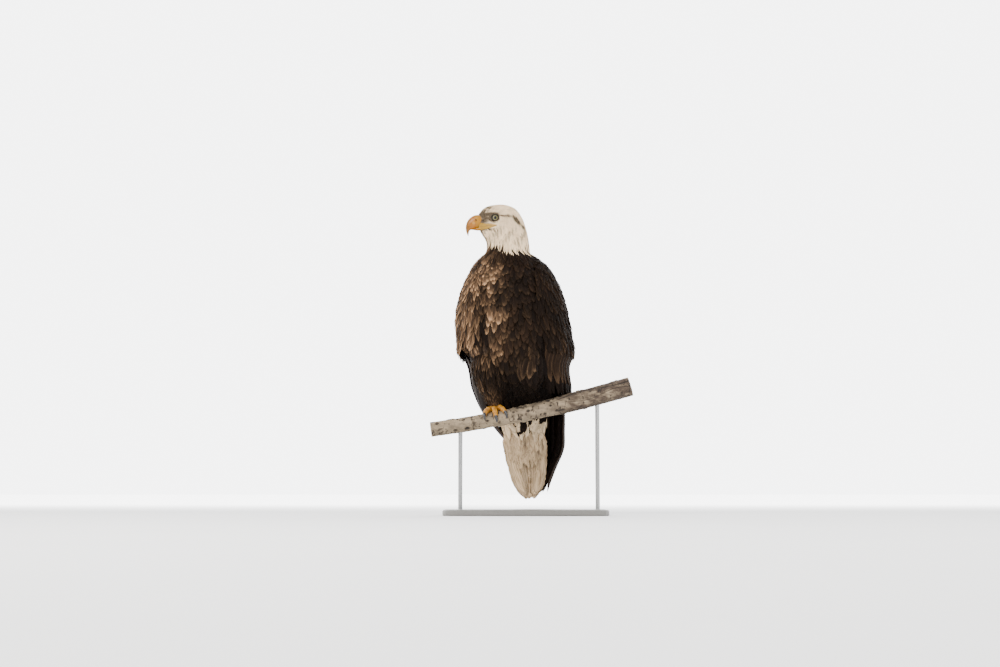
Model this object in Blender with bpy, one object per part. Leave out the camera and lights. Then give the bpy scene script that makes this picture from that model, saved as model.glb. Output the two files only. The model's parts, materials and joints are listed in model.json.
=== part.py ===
"""Bald eagle, life size, perched on a cut length of branch above a plain display stand.

Run with: blender --background --python part.py

Units are metres, +Z is up, and the bird faces -Y. The origin is the centre of the base's underside.
The bird is modelled in its own frame, where -Y is forwards and +X is its left side, and an empty
turns that frame on the perch. The head has a second frame, turned further to the bird's right.
"""

import math

import bmesh
import bpy
import numpy as np
from mathutils import Vector

# ---------------------------------------------------------------- driving dimensions
GAP = 0.0003  # clearance where two pieces meet
CUT_GAP = 0.0006  # clearance of a piece that is cut to fit its neighbour

BODY_TURN = math.radians(-5)  # the body's heading, from facing -Y
HEAD_TURN = math.radians(-84)  # the head's heading: a look over the right shoulder
BODY_X = -0.030  # the body's midline at LEAN_FROM
LEAN = 0.077  # how far the midline moves to the right for each metre of height
LEAN_FROM = 0.470
HEAD_AT = (-0.048, -0.040)  # the neck's axis, in plan

BASE_SIZE = (0.44, 0.27, 0.016)
BASE_CORNER = 0.035
BASE_EDGE = 0.003
ROD_RADIUS = 0.006
ROD_X = (-0.175, 0.195)
ROD_IN_PERCH = 0.012
ROD_IN_BASE = 0.010

PERCH_HEIGHT = 0.275  # the branch's axis at X = 0
PERCH_RISE = 0.2126  # its slope there
PERCH_BEND = 0.15  # and how the slope grows
PERCH_ENDS = (-0.255, 0.285)

EYE_RADIUS = 0.0125
EYE_AT = (0.0350, 0.7970)  # forwards of the neck's axis, and height
EYE_OUT = 0.0240  # from the head's midline to the eyeball's centre

FOOT_X = -0.078  # where the right foot grips the branch; the left one is drawn up
TOE_RADIUS = 0.0082
CLAW_RADIUS = 0.0044

SIDES = {"left": 1, "right": -1}


# ---------------------------------------------------------------- scene, materials, frames
def clear_scene():
    for old in list(bpy.data.objects):
        bpy.data.objects.remove(old)


def material(name, colour, roughness, metallic=0.0):
    """A Principled BSDF of one colour, made once for each name."""
    found = bpy.data.materials.get(name)
    if found:
        return found
    made = bpy.data.materials.new(name)
    made.use_nodes = True
    made.diffuse_color = (*colour, 1)
    shader = made.node_tree.nodes["Principled BSDF"]
    shader.inputs["Base Color"].default_value = (*colour, 1)
    shader.inputs["Roughness"].default_value = roughness
    shader.inputs["Metallic"].default_value = metallic
    return made


def plumage_brown():
    return material("plumage_brown", (0.075, 0.042, 0.026), 0.75)


def plumage_white():
    return material("plumage_white", (0.75, 0.70, 0.62), 0.8)


def flight_black():
    return material("flight_feathers", (0.022, 0.017, 0.016), 0.6)


def horn_yellow():
    return material("bill_horn", (0.80, 0.42, 0.05), 0.38)


def toe_yellow():
    return material("toe_skin", (0.78, 0.42, 0.07), 0.55)


def claw_black():
    return material("claw_horn", (0.03, 0.03, 0.035), 0.3)


def eye_glass():
    return material("eye", (0.62, 0.60, 0.42), 0.06)


def bark():
    return material("bark", (0.42, 0.38, 0.31), 0.85)


def base_paint():
    return material("stand_paint", (0.55, 0.55, 0.53), 0.5)


def steel():
    return material("stand_steel", (0.6, 0.6, 0.6), 0.3, 1.0)


def frame(name, place, turn):
    """An empty whose own -Y axis is the direction that its children face."""
    made = bpy.data.objects.new(name, None)
    bpy.context.scene.collection.objects.link(made)
    made.location = (*place, 0)
    made.rotation_euler.z = turn
    return made


# ---------------------------------------------------------------- mesh helpers
def new_object(name, points, faces, finish, parent=None):
    mesh = bpy.data.meshes.new(name)
    mesh.from_pydata([tuple(p) for p in points], [], faces)
    mesh.materials.append(finish)
    made = bpy.data.objects.new(name, mesh)
    bpy.context.scene.collection.objects.link(made)
    made.parent = parent
    closed = bmesh.new()
    closed.from_mesh(mesh)
    # split by rule, so that a cutter made on the same grid folds alike
    bmesh.ops.triangulate(closed, faces=closed.faces, quad_method="FIXED")
    bmesh.ops.recalc_face_normals(closed, faces=closed.faces)
    closed.to_mesh(mesh)
    closed.free()
    mesh.shade_smooth()
    mesh.set_sharp_from_angle(angle=math.radians(45))
    return made


def smooth_rows(stations, rows):
    """Rows read at even steps from a smooth (Catmull-Rom) curve through the stations."""
    table = np.array(stations, float)
    table = np.vstack([2 * table[0] - table[1], table, 2 * table[-1] - table[-2]])
    at = np.linspace(0, len(stations) - 1, rows)
    span = np.minimum(at.astype(int), len(stations) - 2)
    t = (at - span)[:, None]
    before, start, end, after = (table[span + k] for k in range(4))
    return 0.5 * (
        2 * start
        + (end - before) * t
        + (2 * before - 5 * start + 4 * end - after) * t**2
        + (3 * start - before - 3 * end + after) * t**3
    )


def tube_faces(rows, around):
    """The quads of a tube of rings, with a flat cap on each end."""
    faces = [
        (
            r * around + k,
            r * around + (k + 1) % around,
            (r + 1) * around + (k + 1) % around,
            (r + 1) * around + k,
        )
        for r in range(rows - 1)
        for k in range(around)
    ]
    first = tuple(reversed(range(around)))
    last = tuple((rows - 1) * around + k for k in range(around))
    return [*faces, first, last]


def rings(centre, up, side, around, squareness=2.0):
    """Rings of points: centre + up cos a + side sin a, a superellipse when squareness is over 2."""
    angle = np.linspace(0, 2 * math.pi, around, endpoint=False)
    power = 2 / squareness
    c = np.sign(np.cos(angle)) * np.abs(np.cos(angle)) ** power
    s = np.sign(np.sin(angle)) * np.abs(np.sin(angle)) ** power
    points = (
        centre[:, None, :]
        + up[:, None, :] * c[None, :, None]
        + side[:, None, :] * s[None, :, None]
    )
    return points


def profile_rings(stations, rows, around, squareness=2.0):
    """Rings across a body drawn in profile.

    A station is (back forwards, back height, front forwards, front height, half width, midline):
    a section spans from its back point to its front point, and is as wide as its half width.
    """
    back_f, back_z, front_f, front_z, half, mid = smooth_rows(stations, rows).T
    back = np.stack([mid, -back_f, back_z], axis=1)
    front = np.stack([mid, -front_f, front_z], axis=1)
    side = np.stack([half, 0 * half, 0 * half], axis=1)
    return rings((back + front) / 2, (back - front) / 2, side, around, squareness)


def tube(name, points, finish, parent=None):
    rows, around, _ = points.shape
    return new_object(name, points.reshape(-1, 3), tube_faces(rows, around), finish, parent)


def path_tube(name, path, radii, around, finish, parent=None):
    """A round tapering tube along a path. Its rings stand across the path, level on one side."""
    along = np.gradient(path, axis=0)
    along /= np.linalg.norm(along, axis=1)[:, None]
    level = np.array([1.0, 0.0, 0.0])
    side = level - along * np.sum(level * along, axis=1)[:, None]
    side /= np.linalg.norm(side, axis=1)[:, None]
    up = np.cross(along, side)
    radii = np.asarray(radii)[:, None]
    return tube(name, rings(path, up * radii, side * radii, around), finish, parent)


def sheet_solid(name, outer, inner, finish, parent=None):
    """A closed thick sheet between two grids of points of the same shape."""
    rows, columns, _ = outer.shape
    count = rows * columns

    def at(layer, r, c):
        return layer * count + r * columns + c

    faces = []
    for r in range(rows - 1):
        for c in range(columns - 1):
            faces.append((at(0, r, c), at(0, r, c + 1), at(0, r + 1, c + 1), at(0, r + 1, c)))
            faces.append((at(1, r, c), at(1, r + 1, c), at(1, r + 1, c + 1), at(1, r, c + 1)))
    rim = [(0, c) for c in range(columns)]
    rim += [(r, columns - 1) for r in range(1, rows)]
    rim += [(rows - 1, c) for c in range(columns - 2, -1, -1)]
    rim += [(r, 0) for r in range(rows - 2, 0, -1)]
    for a, b in zip(rim, rim[1:] + rim[:1]):
        faces.append((at(0, *a), at(1, *a), at(1, *b), at(0, *b)))
    points = np.concatenate([outer.reshape(-1, 3), inner.reshape(-1, 3)])
    return new_object(name, points, faces, finish, parent)


# ---------------------------------------------------------------- cutting pieces to fit
def grown_copy(piece, by):
    """A hidden copy of a piece as first made, a little larger, for cutting its neighbour with."""
    made = piece.copy()
    made.modifiers.clear()
    made.data = piece.data.copy()
    made.name = "cutter_" + piece.name
    bpy.context.scene.collection.objects.link(made)
    grow = made.modifiers.new("grow", "DISPLACE")
    grow.strength = by
    grow.mid_level = 0
    made.hide_render = True
    made.display_type = "WIRE"
    return made


def combine(piece, other, operation):
    modifier = piece.modifiers.new(operation.lower(), "BOOLEAN")
    modifier.operation = operation
    modifier.solver = "EXACT"
    modifier.object = other


def cut_to_fit(piece, *neighbours, by=CUT_GAP):
    for neighbour in neighbours:
        combine(piece, grown_copy(neighbour, by), "DIFFERENCE")


# ---------------------------------------------------------------- perch and stand
def perch_height(x):
    return PERCH_HEIGHT + PERCH_RISE * x + PERCH_BEND * x * x


def perch_radius(x):
    """A slim branch that thickens towards the trunk of its tree, on the right."""
    return 0.0232 + 0.0030 * np.tanh((x - 0.06) / 0.08)


def perch_frame(x):
    """The branch's axis point, its direction and the upward normal there."""
    slope = PERCH_RISE + 2 * PERCH_BEND * x
    along = np.stack([np.ones_like(x), 0 * x, slope], axis=-1)
    along /= np.linalg.norm(along, axis=-1, keepdims=True)
    up = np.stack([-along[..., 2], 0 * x, along[..., 0]], axis=-1)
    centre = np.stack([x, 0 * x, perch_height(x)], axis=-1)
    return centre, along, up


def around_perch(x, angle, clear):
    """A point that far clear of the bark, at an angle from the branch's top towards its front."""
    centre, _, up = perch_frame(x)
    front = np.array([0.0, -1.0, 0.0])
    reach = (perch_radius(x) + clear)[:, None]
    return centre + reach * (np.cos(angle)[:, None] * up + np.sin(angle)[:, None] * front)


def make_perch():
    x = np.linspace(*PERCH_ENDS, 11)
    centre, _, up = perch_frame(x)
    radius = perch_radius(x)[:, None]
    side = np.array([[0.0, 1.0, 0.0]]) * radius
    return tube("perch", rings(centre, up * radius, side, 14), bark())


def make_base():
    box = bmesh.new()
    bmesh.ops.create_cube(box, size=1)
    bmesh.ops.scale(box, vec=BASE_SIZE, verts=box.verts)
    bmesh.ops.translate(box, vec=(0, 0, BASE_SIZE[2] / 2), verts=box.verts)
    upright = [e for e in box.edges if abs(e.verts[0].co.z - e.verts[1].co.z) > 0.001]
    bmesh.ops.bevel(box, geom=upright, offset=BASE_CORNER, segments=4, profile=0.5, affect="EDGES")
    mesh = bpy.data.meshes.new("stand_base")
    box.to_mesh(mesh)
    box.free()
    mesh.materials.append(base_paint())
    made = bpy.data.objects.new("stand_base", mesh)
    bpy.context.scene.collection.objects.link(made)
    edge = made.modifiers.new("edge", "BEVEL")
    edge.width = BASE_EDGE
    edge.segments = 1
    edge.limit_method = "ANGLE"
    return made


def make_rod(side, x, grow=0.0):
    """An upright rod from its hole in the base to its hole in the branch."""
    foot = BASE_SIZE[2] - ROD_IN_BASE - grow
    top = perch_height(x) - perch_radius(np.array(x)) + ROD_IN_PERCH + grow
    bpy.ops.mesh.primitive_cylinder_add(
        vertices=12, radius=ROD_RADIUS + grow, depth=top - foot, location=(x, 0, (foot + top) / 2)
    )
    made = bpy.context.object
    made.name = ("cutter_rod_" if grow else "stand_rod_") + side
    made.data.name = made.name
    made.data.materials.append(steel())
    made.data.shade_smooth()
    made.data.set_sharp_from_angle(angle=math.radians(45))
    if grow:
        made.hide_render = True
        made.display_type = "WIRE"
    return made


# ---------------------------------------------------------------- trunk, neck and head
# A row of each table: back forwards, back height, front forwards, front height, half width, midline
NECK_FOOT = (0.060, 0.705)  # radius and height of the round section that neck and trunk share
NECK = [
    (-0.0600, 0.7050, 0.0600, 0.7050, 0.0600, 0),
    (-0.0590, 0.7300, 0.0560, 0.7170, 0.0560, 0),
    (-0.0555, 0.7540, 0.0560, 0.7300, 0.0520, 0),
    (-0.0500, 0.7760, 0.0600, 0.7420, 0.0490, 0),  # nape
]
HEAD = [
    NECK[-1],
    (-0.0400, 0.8030, 0.0650, 0.7490, 0.0455, 0),
    (-0.0210, 0.8280, 0.0690, 0.7550, 0.0400, 0),  # back of the crown
    (0.0080, 0.8385, 0.0715, 0.7590, 0.0345, 0),  # crown
    (0.0380, 0.8370, 0.0735, 0.7620, 0.0280, 0),  # over the eye
    (0.0610, 0.8270, 0.0750, 0.7650, 0.0210, 0),  # forehead
    (0.0780, 0.8110, 0.0760, 0.7680, 0.0130, 0),  # under the cere
]
TRUNK = [
    (-0.046, 0.690, 0.112, 0.676, 0.081, 0.002),  # top of the shoulders
    (-0.076, 0.650, 0.124, 0.630, 0.101, 0),  # crop
    (-0.098, 0.590, 0.130, 0.560, 0.120, 0),  # breast
    (-0.112, 0.515, 0.128, 0.480, 0.132, 0),  # widest
    (-0.122, 0.445, 0.112, 0.412, 0.130, 0),  # belly
    (-0.129, 0.388, 0.078, 0.362, 0.118, 0),
    (-0.133, 0.345, 0.010, 0.345, 0.105, 0),  # over the perch
    (-0.136, 0.305, -0.048, 0.312, 0.090, 0),
    (-0.137, 0.270, -0.066, 0.275, 0.074, 0),  # vent
    (-0.137, 0.235, -0.078, 0.236, 0.060, 0),
]
TAIL = [
    (-0.1360, 0.2347, -0.0785, 0.2347, 0.0595, 0),
    (-0.1360, 0.2000, -0.0970, 0.2000, 0.0590, 0),
    (-0.1430, 0.1600, -0.1190, 0.1600, 0.0560, 0),
    (-0.1495, 0.1250, -0.1365, 0.1250, 0.0510, 0),
    (-0.1550, 0.0940, -0.1470, 0.0940, 0.0460, 0),
    (-0.1580, 0.0700, -0.1525, 0.0700, 0.0385, 0),
    (-0.1600, 0.0530, -0.1550, 0.0530, 0.0270, 0),
    (-0.1600, 0.0435, -0.1570, 0.0435, 0.0110, 0),
]


def leaned(points):
    """Body points, moved sideways with height so that the midline leans."""
    points[..., 0] += LEAN * (LEAN_FROM - points[..., 2])
    return points


def trunk_stations():
    """The trunk's table, under the ring where the neck stands on it."""
    radius, height = NECK_FOOT
    x, y = HEAD_AT[0] - BODY_X, HEAD_AT[1]
    cos, sin = math.cos(BODY_TURN), math.sin(BODY_TURN)
    forwards = sin * x - cos * y
    midline = cos * x + sin * y - LEAN * (LEAN_FROM - height)
    return [(forwards - radius, height, forwards + radius, height, radius, midline), *TRUNK]


def shape_face(points):
    """Brow ridges over the eyes, and the hollows of the lores and the eyes under them."""
    forwards, height = -points[..., 1], points[..., 2]
    eye_f, eye_z = EYE_AT

    def hill(f, z, length, width):
        return np.exp(-(((forwards - f) / length) ** 2) - ((height - z) / width) ** 2)

    brow = 0.0042 * hill(eye_f + 0.006, eye_z + 0.0125, 0.026, 0.0062)
    socket = 0.0035 * hill(eye_f, eye_z - 0.001, 0.015, 0.0095)
    lore = 0.0040 * hill(eye_f + 0.026, eye_z - 0.004, 0.014, 0.010)
    cheek = 0.0025 * hill(eye_f - 0.020, eye_z - 0.026, 0.024, 0.016)
    out = brow + cheek - socket - lore
    outwards = np.clip(points[..., 0] / 0.02, -1, 1)
    points[..., 0] += out * outwards
    return points


def make_head(parent):
    head = tube("head", shape_face(profile_rings(HEAD, 14, 24)), plumage_white(), parent)
    lowest = head.data.vertices[:24]
    foot = sum((v.co for v in lowest), Vector()) / len(lowest)
    middle = sum((v.co for v in head.data.vertices), Vector()) / len(head.data.vertices)
    lift = (middle - foot).normalized() * GAP
    for vertex in lowest:
        vertex.co += lift
    return head


def make_neck(parent):
    return tube("neck", profile_rings(NECK, 6, 24), plumage_white(), parent)


def make_trunk(parent):
    points = profile_rings(trunk_stations(), 18, 22)
    points[0, :, 2] -= GAP
    return tube("trunk", leaned(points), plumage_brown(), parent)


def make_tail(parent):
    points = profile_rings(TAIL, 11, 16, squareness=2.3)
    return tube("tail", leaned(points), plumage_white(), parent)


# ---------------------------------------------------------------- bill and eyes
UPPER_BILL = [
    (0.0740, 0.8090, 0.0640, 0.7810, 0.0140, 0),
    (0.0840, 0.8095, 0.0720, 0.7775, 0.0143, 0),  # cere
    (0.0945, 0.8060, 0.0830, 0.7715, 0.0130, 0),
    (0.1045, 0.7980, 0.0930, 0.7680, 0.0108, 0),
    (0.1115, 0.7860, 0.1000, 0.7680, 0.0080, 0),
    (0.1135, 0.7730, 0.1035, 0.7640, 0.0052, 0),
    (0.1115, 0.7610, 0.1050, 0.7580, 0.0028, 0),
    (0.1070, 0.7510, 0.1058, 0.7512, 0.0008, 0),  # point of the hook
]
LOWER_BILL = [
    (0.0500, 0.7830, 0.0530, 0.7700, 0.0120, 0),
    (0.0620, 0.7800, 0.0650, 0.7675, 0.0118, 0),
    (0.0720, 0.7755, 0.0740, 0.7665, 0.0102, 0),
    (0.0820, 0.7705, 0.0825, 0.7665, 0.0068, 0),
    (0.0890, 0.7685, 0.0888, 0.7677, 0.0022, 0),
]


def make_bill(parent):
    upper = tube("bill_upper", profile_rings(UPPER_BILL, 13, 14), horn_yellow(), parent)
    lower = tube("bill_lower", profile_rings(LOWER_BILL, 6, 12), horn_yellow(), parent)
    cut_to_fit(lower, upper)
    return upper, lower


def make_eye(side, parent):
    bpy.ops.mesh.primitive_uv_sphere_add(segments=14, ring_count=8, radius=EYE_RADIUS)
    made = bpy.context.object
    made.name = made.data.name = "eye_" + side
    made.parent = parent
    made.location = (SIDES[side] * EYE_OUT, -EYE_AT[0], EYE_AT[1])
    made.rotation_euler.y = math.radians(90)
    made.data.materials.append(eye_glass())
    made.data.shade_smooth()
    return made


# ---------------------------------------------------------------- wings
# height, section centre forwards, half depth, thickness, back edge in degrees round from the
# breast, then the half width of the left wing and of the right
WING = [
    (0.695, 0.030, 0.080, 0.010, 112.0, 0.088, 0.078),  # shoulder
    (0.660, 0.024, 0.112, 0.017, 136.0, 0.117, 0.102),
    (0.600, 0.014, 0.136, 0.022, 160.0, 0.142, 0.134),
    (0.520, 0.006, 0.142, 0.024, 179.5, 0.155, 0.155),
    (0.450, -0.006, 0.139, 0.024, 179.5, 0.159, 0.153),  # wrist
    (0.400, -0.020, 0.129, 0.018, 179.5, 0.136, 0.136),
    (0.345, -0.044, 0.108, 0.014, 179.5, 0.136, 0.132),
    (0.280, -0.074, 0.080, 0.011, 179.5, 0.134, 0.114),
    (0.230, -0.104, 0.060, 0.010, 179.5, 0.128, 0.087),
    (0.180, -0.134, 0.038, 0.008, 179.3, 0.119, 0.057),
    (0.120, -0.160, 0.022, 0.006, 179.0, 0.086, 0.042),
    (0.050, -0.175, 0.012, 0.004, 178.0, 0.050, 0.030),
]
# height, then the front edge of the covert feathers and of the flight feathers, in degrees
FRONT_EDGES = {
    "left": [
        (0.695, 72.0, 100.0),
        (0.660, 54.0, 100.0),
        (0.600, 41.0, 100.0),
        (0.520, 37.0, 98.0),
        (0.345, 37.0, 98.0),
        (0.050, 37.0, 104.0),
    ],
    "right": [
        (0.695, 72.0, 60.0),
        (0.660, 54.0, 60.0),
        (0.600, 38.0, 50.0),
        (0.520, 33.0, 46.0),
        (0.400, 38.0, 46.0),
        (0.345, 40.0, 52.0),
        (0.280, 48.0, 72.0),
        (0.230, 54.0, 95.0),
        (0.180, 60.0, 116.0),
        (0.050, 60.0, 118.0),
    ],
}
COVERTS, FLIGHT = 1, 2  # columns of that table
# where the coverts stop: degrees at the front, height there and at the back, and how the edge bends
COVERTS_END = {"left": (37.0, 0.352, 0.290, 2.0), "right": (38.0, 0.450, 0.290, 2.4)}
FLARE = 0.010  # how far the coverts stand out over the flight feathers
FEATHERS_SHOWN = 4  # steps across the flight feathers
TIP_HEIGHT = 0.060


def wing_values(height, column):
    """One column of the wing's table, read smoothly at any height."""
    table = smooth_rows(WING, 120)[::-1]
    return np.interp(height, table[:, 0], table[:, column])


def wing_angle(side, height, share, layer):
    """Degrees round from the breast. share runs from the front edge, 0, to the back edge, 1."""
    edges = np.array(FRONT_EDGES[side])[::-1]
    front = np.interp(height, edges[:, 0], edges[:, layer])
    return front + (np.minimum(wing_values(height, 4), 179.5) - front) * share


def coverts_edge(side, share, layer):
    """The height of the coverts' lower edge at one share of a layer's width."""
    start, front, back, bend = COVERTS_END[side]
    height = np.full_like(share, 0.4)
    for _ in range(6):
        angle = wing_angle(side, height, share, layer)
        round_share = np.clip((angle - start) / (180 - start), 0, 1)
        height = front + (back - front) * round_share**bend
    return height


def wing_grid(side, height, share, layer, deep, more=0.0):
    """Points of the folded wing. deep is 0 at its outer face and 1 at its inner face."""
    centre, depth, thick = (wing_values(height, k) for k in (1, 2, 3))
    width = wing_values(height, 5 if side == "left" else 6)
    angle = np.radians(wing_angle(side, height, share, layer))
    rim = 1 - 0.75 * np.abs(2 * share - 1) ** 4
    inset = thick * (1 - (1 - deep) * rim)
    if layer == COVERTS:
        inset = inset - FLARE * np.clip((0.47 - height) / 0.05, 0, 1) * rim
    inset = inset + more
    forwards = centre + (depth - inset) * np.cos(angle)
    across = SIDES[side] * (width - inset) * np.sin(angle)
    return leaned(np.stack([across, -forwards, height], axis=-1))


def spread(count, margin):
    """Even steps from 0 to 1, and one more past each end when there is a margin."""
    steps = np.linspace(0, 1, count)
    return np.concatenate([[-margin], steps, [1 + margin]]) if margin else steps


def coverts_grid(side, margin):
    """Height and share of each point of the coverts."""
    share, along = np.meshgrid(spread(11, margin), spread(9, margin / 4))
    lowest = coverts_edge(side, share, COVERTS)
    return WING[0][0] + (lowest - WING[0][0]) * along, share


def flight_grid(side, margin):
    """The same for the flight feathers, which are lapped like slats and have rounded tips."""
    columns = spread(FEATHERS_SHOWN * 3 + 1, margin)
    share, along = np.meshgrid(columns, spread(6, margin / 4))
    lap = np.round(np.clip(share, 0, 1) * FEATHERS_SHOWN * 3) % 3 / 3
    tip_round = 0.010 * np.abs(2 * lap - 1) ** 2 * (share > 0)
    lowest = TIP_HEIGHT + 0.055 * np.abs(share - 0.35) ** 1.4 + tip_round
    highest = coverts_edge(side, share, FLIGHT) - 3 * CUT_GAP
    return highest + (lowest - highest) * along, share, 0.2 * (1 - lap)


def make_wing(side, parent):
    """The shoulder and the covert feathers, as far as the flight feathers that show under them."""
    height, share = coverts_grid(side, 0.0)
    outer, inner = (wing_grid(side, height, share, COVERTS, deep) for deep in (0, 1))
    return sheet_solid("wing_" + side, outer, inner, plumage_brown(), parent)


def make_flight_feathers(side, parent):
    height, share, slat = flight_grid(side, 0.0)
    outer = wing_grid(side, height, share, FLIGHT, slat)
    inner = wing_grid(side, height, share, FLIGHT, 1.0)
    return sheet_solid("primaries_" + side, outer, inner, flight_black(), parent)


def make_wing_rooms(side, parent):
    """The spaces that a wing's two pieces take out of the body, open to the outside."""
    height, share = coverts_grid(side, 0.016)
    low_height, low_share, _ = flight_grid(side, 0.016)
    rooms = []
    for layer, z, s in ((COVERTS, height, share), (FLIGHT, low_height, low_share)):
        outer = wing_grid(side, z, s, layer, 0, more=-0.03)
        inner = wing_grid(side, z, s, layer, 1, more=2 * CUT_GAP)
        room = sheet_solid(f"cutter_{side}_{layer}", outer, inner, bark(), parent)
        room.hide_render = True
        room.display_type = "WIRE"
        rooms.append(room)
    return rooms


# ---------------------------------------------------------------- legs
# forwards, height, radius fore and aft, radius across, of each feathered thigh
THIGH = [
    (0.046, 0.440, 0.030, 0.034),
    (0.056, 0.406, 0.048, 0.049),
    (0.050, 0.371, 0.048, 0.049),
    (0.034, 0.342, 0.040, 0.042),
    (0.014, 0.322, 0.030, 0.032),
    (0.004, 0.306, 0.020, 0.023),
]
THIGH_OUT = -0.066  # from the middle of the body to the standing leg; the other is in the belly
PALM_ANGLE = math.radians(-22)  # the sole sits a little behind the branch's top
PALM_RADIUS = 0.0115
# across the foot, start and end angle round the branch, length of the claw as an angle
TOES = {
    "inner": (0.026, -8, 60, 44),
    "middle": (0.000, -8, 74, 46),
    "outer": (-0.028, -8, 48, 42),
    "back": (0.004, -36, -104, -50),
}
GRIP_GAP = 3.5  # degrees between the end of a gripping toe and its claw
FIST_AT = (0.044, 0.076, 0.388)  # left, forwards and height of the middle of the curled left foot
FIST_CURL = 0.0135  # radius of the curl that its toes follow
FIST_ROOM = 0.0292  # radius of the hollow in the belly round the curled foot
CURL_GAP = 10.0  # degrees between the end of a curled toe and its claw
FIST_HOCK = (0.050, 0.022, 0.380)
# across the foot, start and end angle of the toe and end of the claw; 0 is forwards and 90 is up
CURLED_TOES = {
    "inner": (-0.0135, 80, -62, -104),
    "middle": (0.0000, 84, -70, -112),
    "outer": (0.0135, 80, -62, -104),
    "back": (0.0068, 112, 184, 222),
}


def make_thigh(parent):
    """The feathered thigh of the right leg, which the bird stands on."""
    rows = smooth_rows(THIGH, 8)
    forwards, height, fore, across = rows.T
    zero = 0 * forwards
    centre = np.stack([zero + THIGH_OUT, -forwards, height], axis=1)
    up = np.stack([zero, fore, zero], axis=1)
    wide = np.stack([across, zero, zero], axis=1)
    return tube("thigh_right", leaned(rings(centre, up, wide, 14)), plumage_brown(), parent)


def make_shank():
    """The bare right leg, from inside the thigh's feathers to the sole."""
    foot = around_perch(np.array([FOOT_X]), np.array([PALM_ANGLE]), PALM_RADIUS)[0]
    hip = np.array([foot[0] + 0.1 * (BODY_X - foot[0]), -0.012, 0.345])
    share = np.linspace(0, 1, 5)[:, None]
    path = foot + (hip - foot) * share
    radius = 0.0088 - 0.001 * np.sin(np.pi * share[:, 0])
    return path_tube("shank_right", path, radius, 12, toe_yellow())


def toe_radius(share):
    """A toe tapers, with knuckles along it."""
    return TOE_RADIUS * (1 - 0.24 * share) + 0.0007 * np.cos(share * math.pi * 6)


def claw_radius(share):
    return CLAW_RADIUS * (1 - share) ** 0.8 + 0.0004


def toe_line(toe, start, end, rows, clear, radius):
    """A line round the branch for a toe or a claw, spreading across the foot as it goes."""
    across, first, last, _ = TOES[toe]
    angle = np.radians(np.linspace(start, end, rows))
    spread = np.clip((np.degrees(angle) - first) / (last - first), 0, 1.15) ** 0.7
    x = FOOT_X + across * (0.25 + 0.75 * spread)
    return around_perch(x, angle, clear + radius)


def make_toe(toe):
    _, first, last, _ = TOES[toe]
    share = np.linspace(0, 1, 6)
    radius = toe_radius(share)
    line = toe_line(toe, first, last, len(share), 2 * GAP, radius)
    return path_tube("toe_right_" + toe, line, radius, 8, toe_yellow())


def make_claw(toe):
    _, _, last, sweep = TOES[toe]
    share = np.linspace(0, 1, 5)
    start = last + math.copysign(GRIP_GAP, sweep)
    radius = claw_radius(share)
    arch = 0.0030 * (1 - share) + 0.0035 * np.sin(share * math.pi)
    line = toe_line(toe, start, start + sweep, len(share), 2 * GAP + arch, radius)
    return path_tube("claw_right_" + toe, line, radius, 6, claw_black())


def make_sole(side, place, parts, parent=None):
    """The sole, joined with the leg and the toes that grow from it."""
    bpy.ops.mesh.primitive_uv_sphere_add(segments=10, ring_count=6, radius=PALM_RADIUS)
    foot = bpy.context.object
    foot.name = foot.data.name = "foot_" + side
    foot.parent = parent
    foot.location = place
    foot.data.materials.append(toe_yellow())
    foot.data.shade_smooth()
    for made in parts:
        made.hide_render = True
        made.display_type = "WIRE"
        combine(foot, made, "UNION")
    return foot


def make_gripping_foot(shank):
    """The right foot: bare leg, sole and four toes wrapped round the branch."""
    clear = PALM_RADIUS + 2 * GAP
    place = around_perch(np.array([FOOT_X]), np.array([PALM_ANGLE]), clear)[0]
    return make_sole("right", place, [shank, *(make_toe(toe) for toe in TOES)])


def curl_point(across, angle, reach):
    """A point round the middle of the drawn-up left foot."""
    x, forwards, height = FIST_AT
    angle = np.radians(angle)
    return leaned(
        np.stack(
            [x + across + 0 * angle, -(forwards + reach * np.cos(angle)), height + reach * np.sin(angle)],
            axis=-1,
        )
    )


def make_folded_shank(parent):
    x, forwards, height = FIST_HOCK
    hock = leaned(np.array([x, -forwards, height]))
    sole = curl_point(0.0, np.array(90.0), FIST_CURL)
    path = hock + (sole - hock) * np.linspace(0, 1, 4)[:, None]
    return path_tube("shank_left", path, np.full(4, 0.0082), 12, toe_yellow(), parent)


def make_curled_foot(shank, parent):
    """The left foot, drawn up under the belly with its toes curled in, and its claws."""
    parts = [shank]
    for toe, (across, first, last, tip) in CURLED_TOES.items():
        share = np.linspace(0, 1, 6)
        line = curl_point(across, first + (last - first) * share, FIST_CURL)
        radius = 0.86 * toe_radius(share)
        parts.append(path_tube("toe_left_" + toe, line, radius, 8, toe_yellow(), parent))
        share = np.linspace(0, 1, 5)
        start = last + math.copysign(CURL_GAP, tip - last)
        line = curl_point(across, start + (tip - start) * share, FIST_CURL + 0.001 * share)
        path_tube("claw_left_" + toe, line, claw_radius(share), 6, claw_black(), parent)
    return make_sole("left", curl_point(0.0, np.array(90.0), FIST_CURL), parts, parent)


def make_fist_room(parent):
    """The hollow in the belly where the curled foot lies, open to the front."""
    place = curl_point(0.0, np.array(0.0), 0.0)
    bpy.ops.mesh.primitive_uv_sphere_add(segments=20, ring_count=14, radius=FIST_ROOM)
    room = bpy.context.object
    room.name = "cutter_fist"
    room.parent = parent
    room.location = place
    room.hide_render = True
    room.display_type = "WIRE"
    return room


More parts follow.
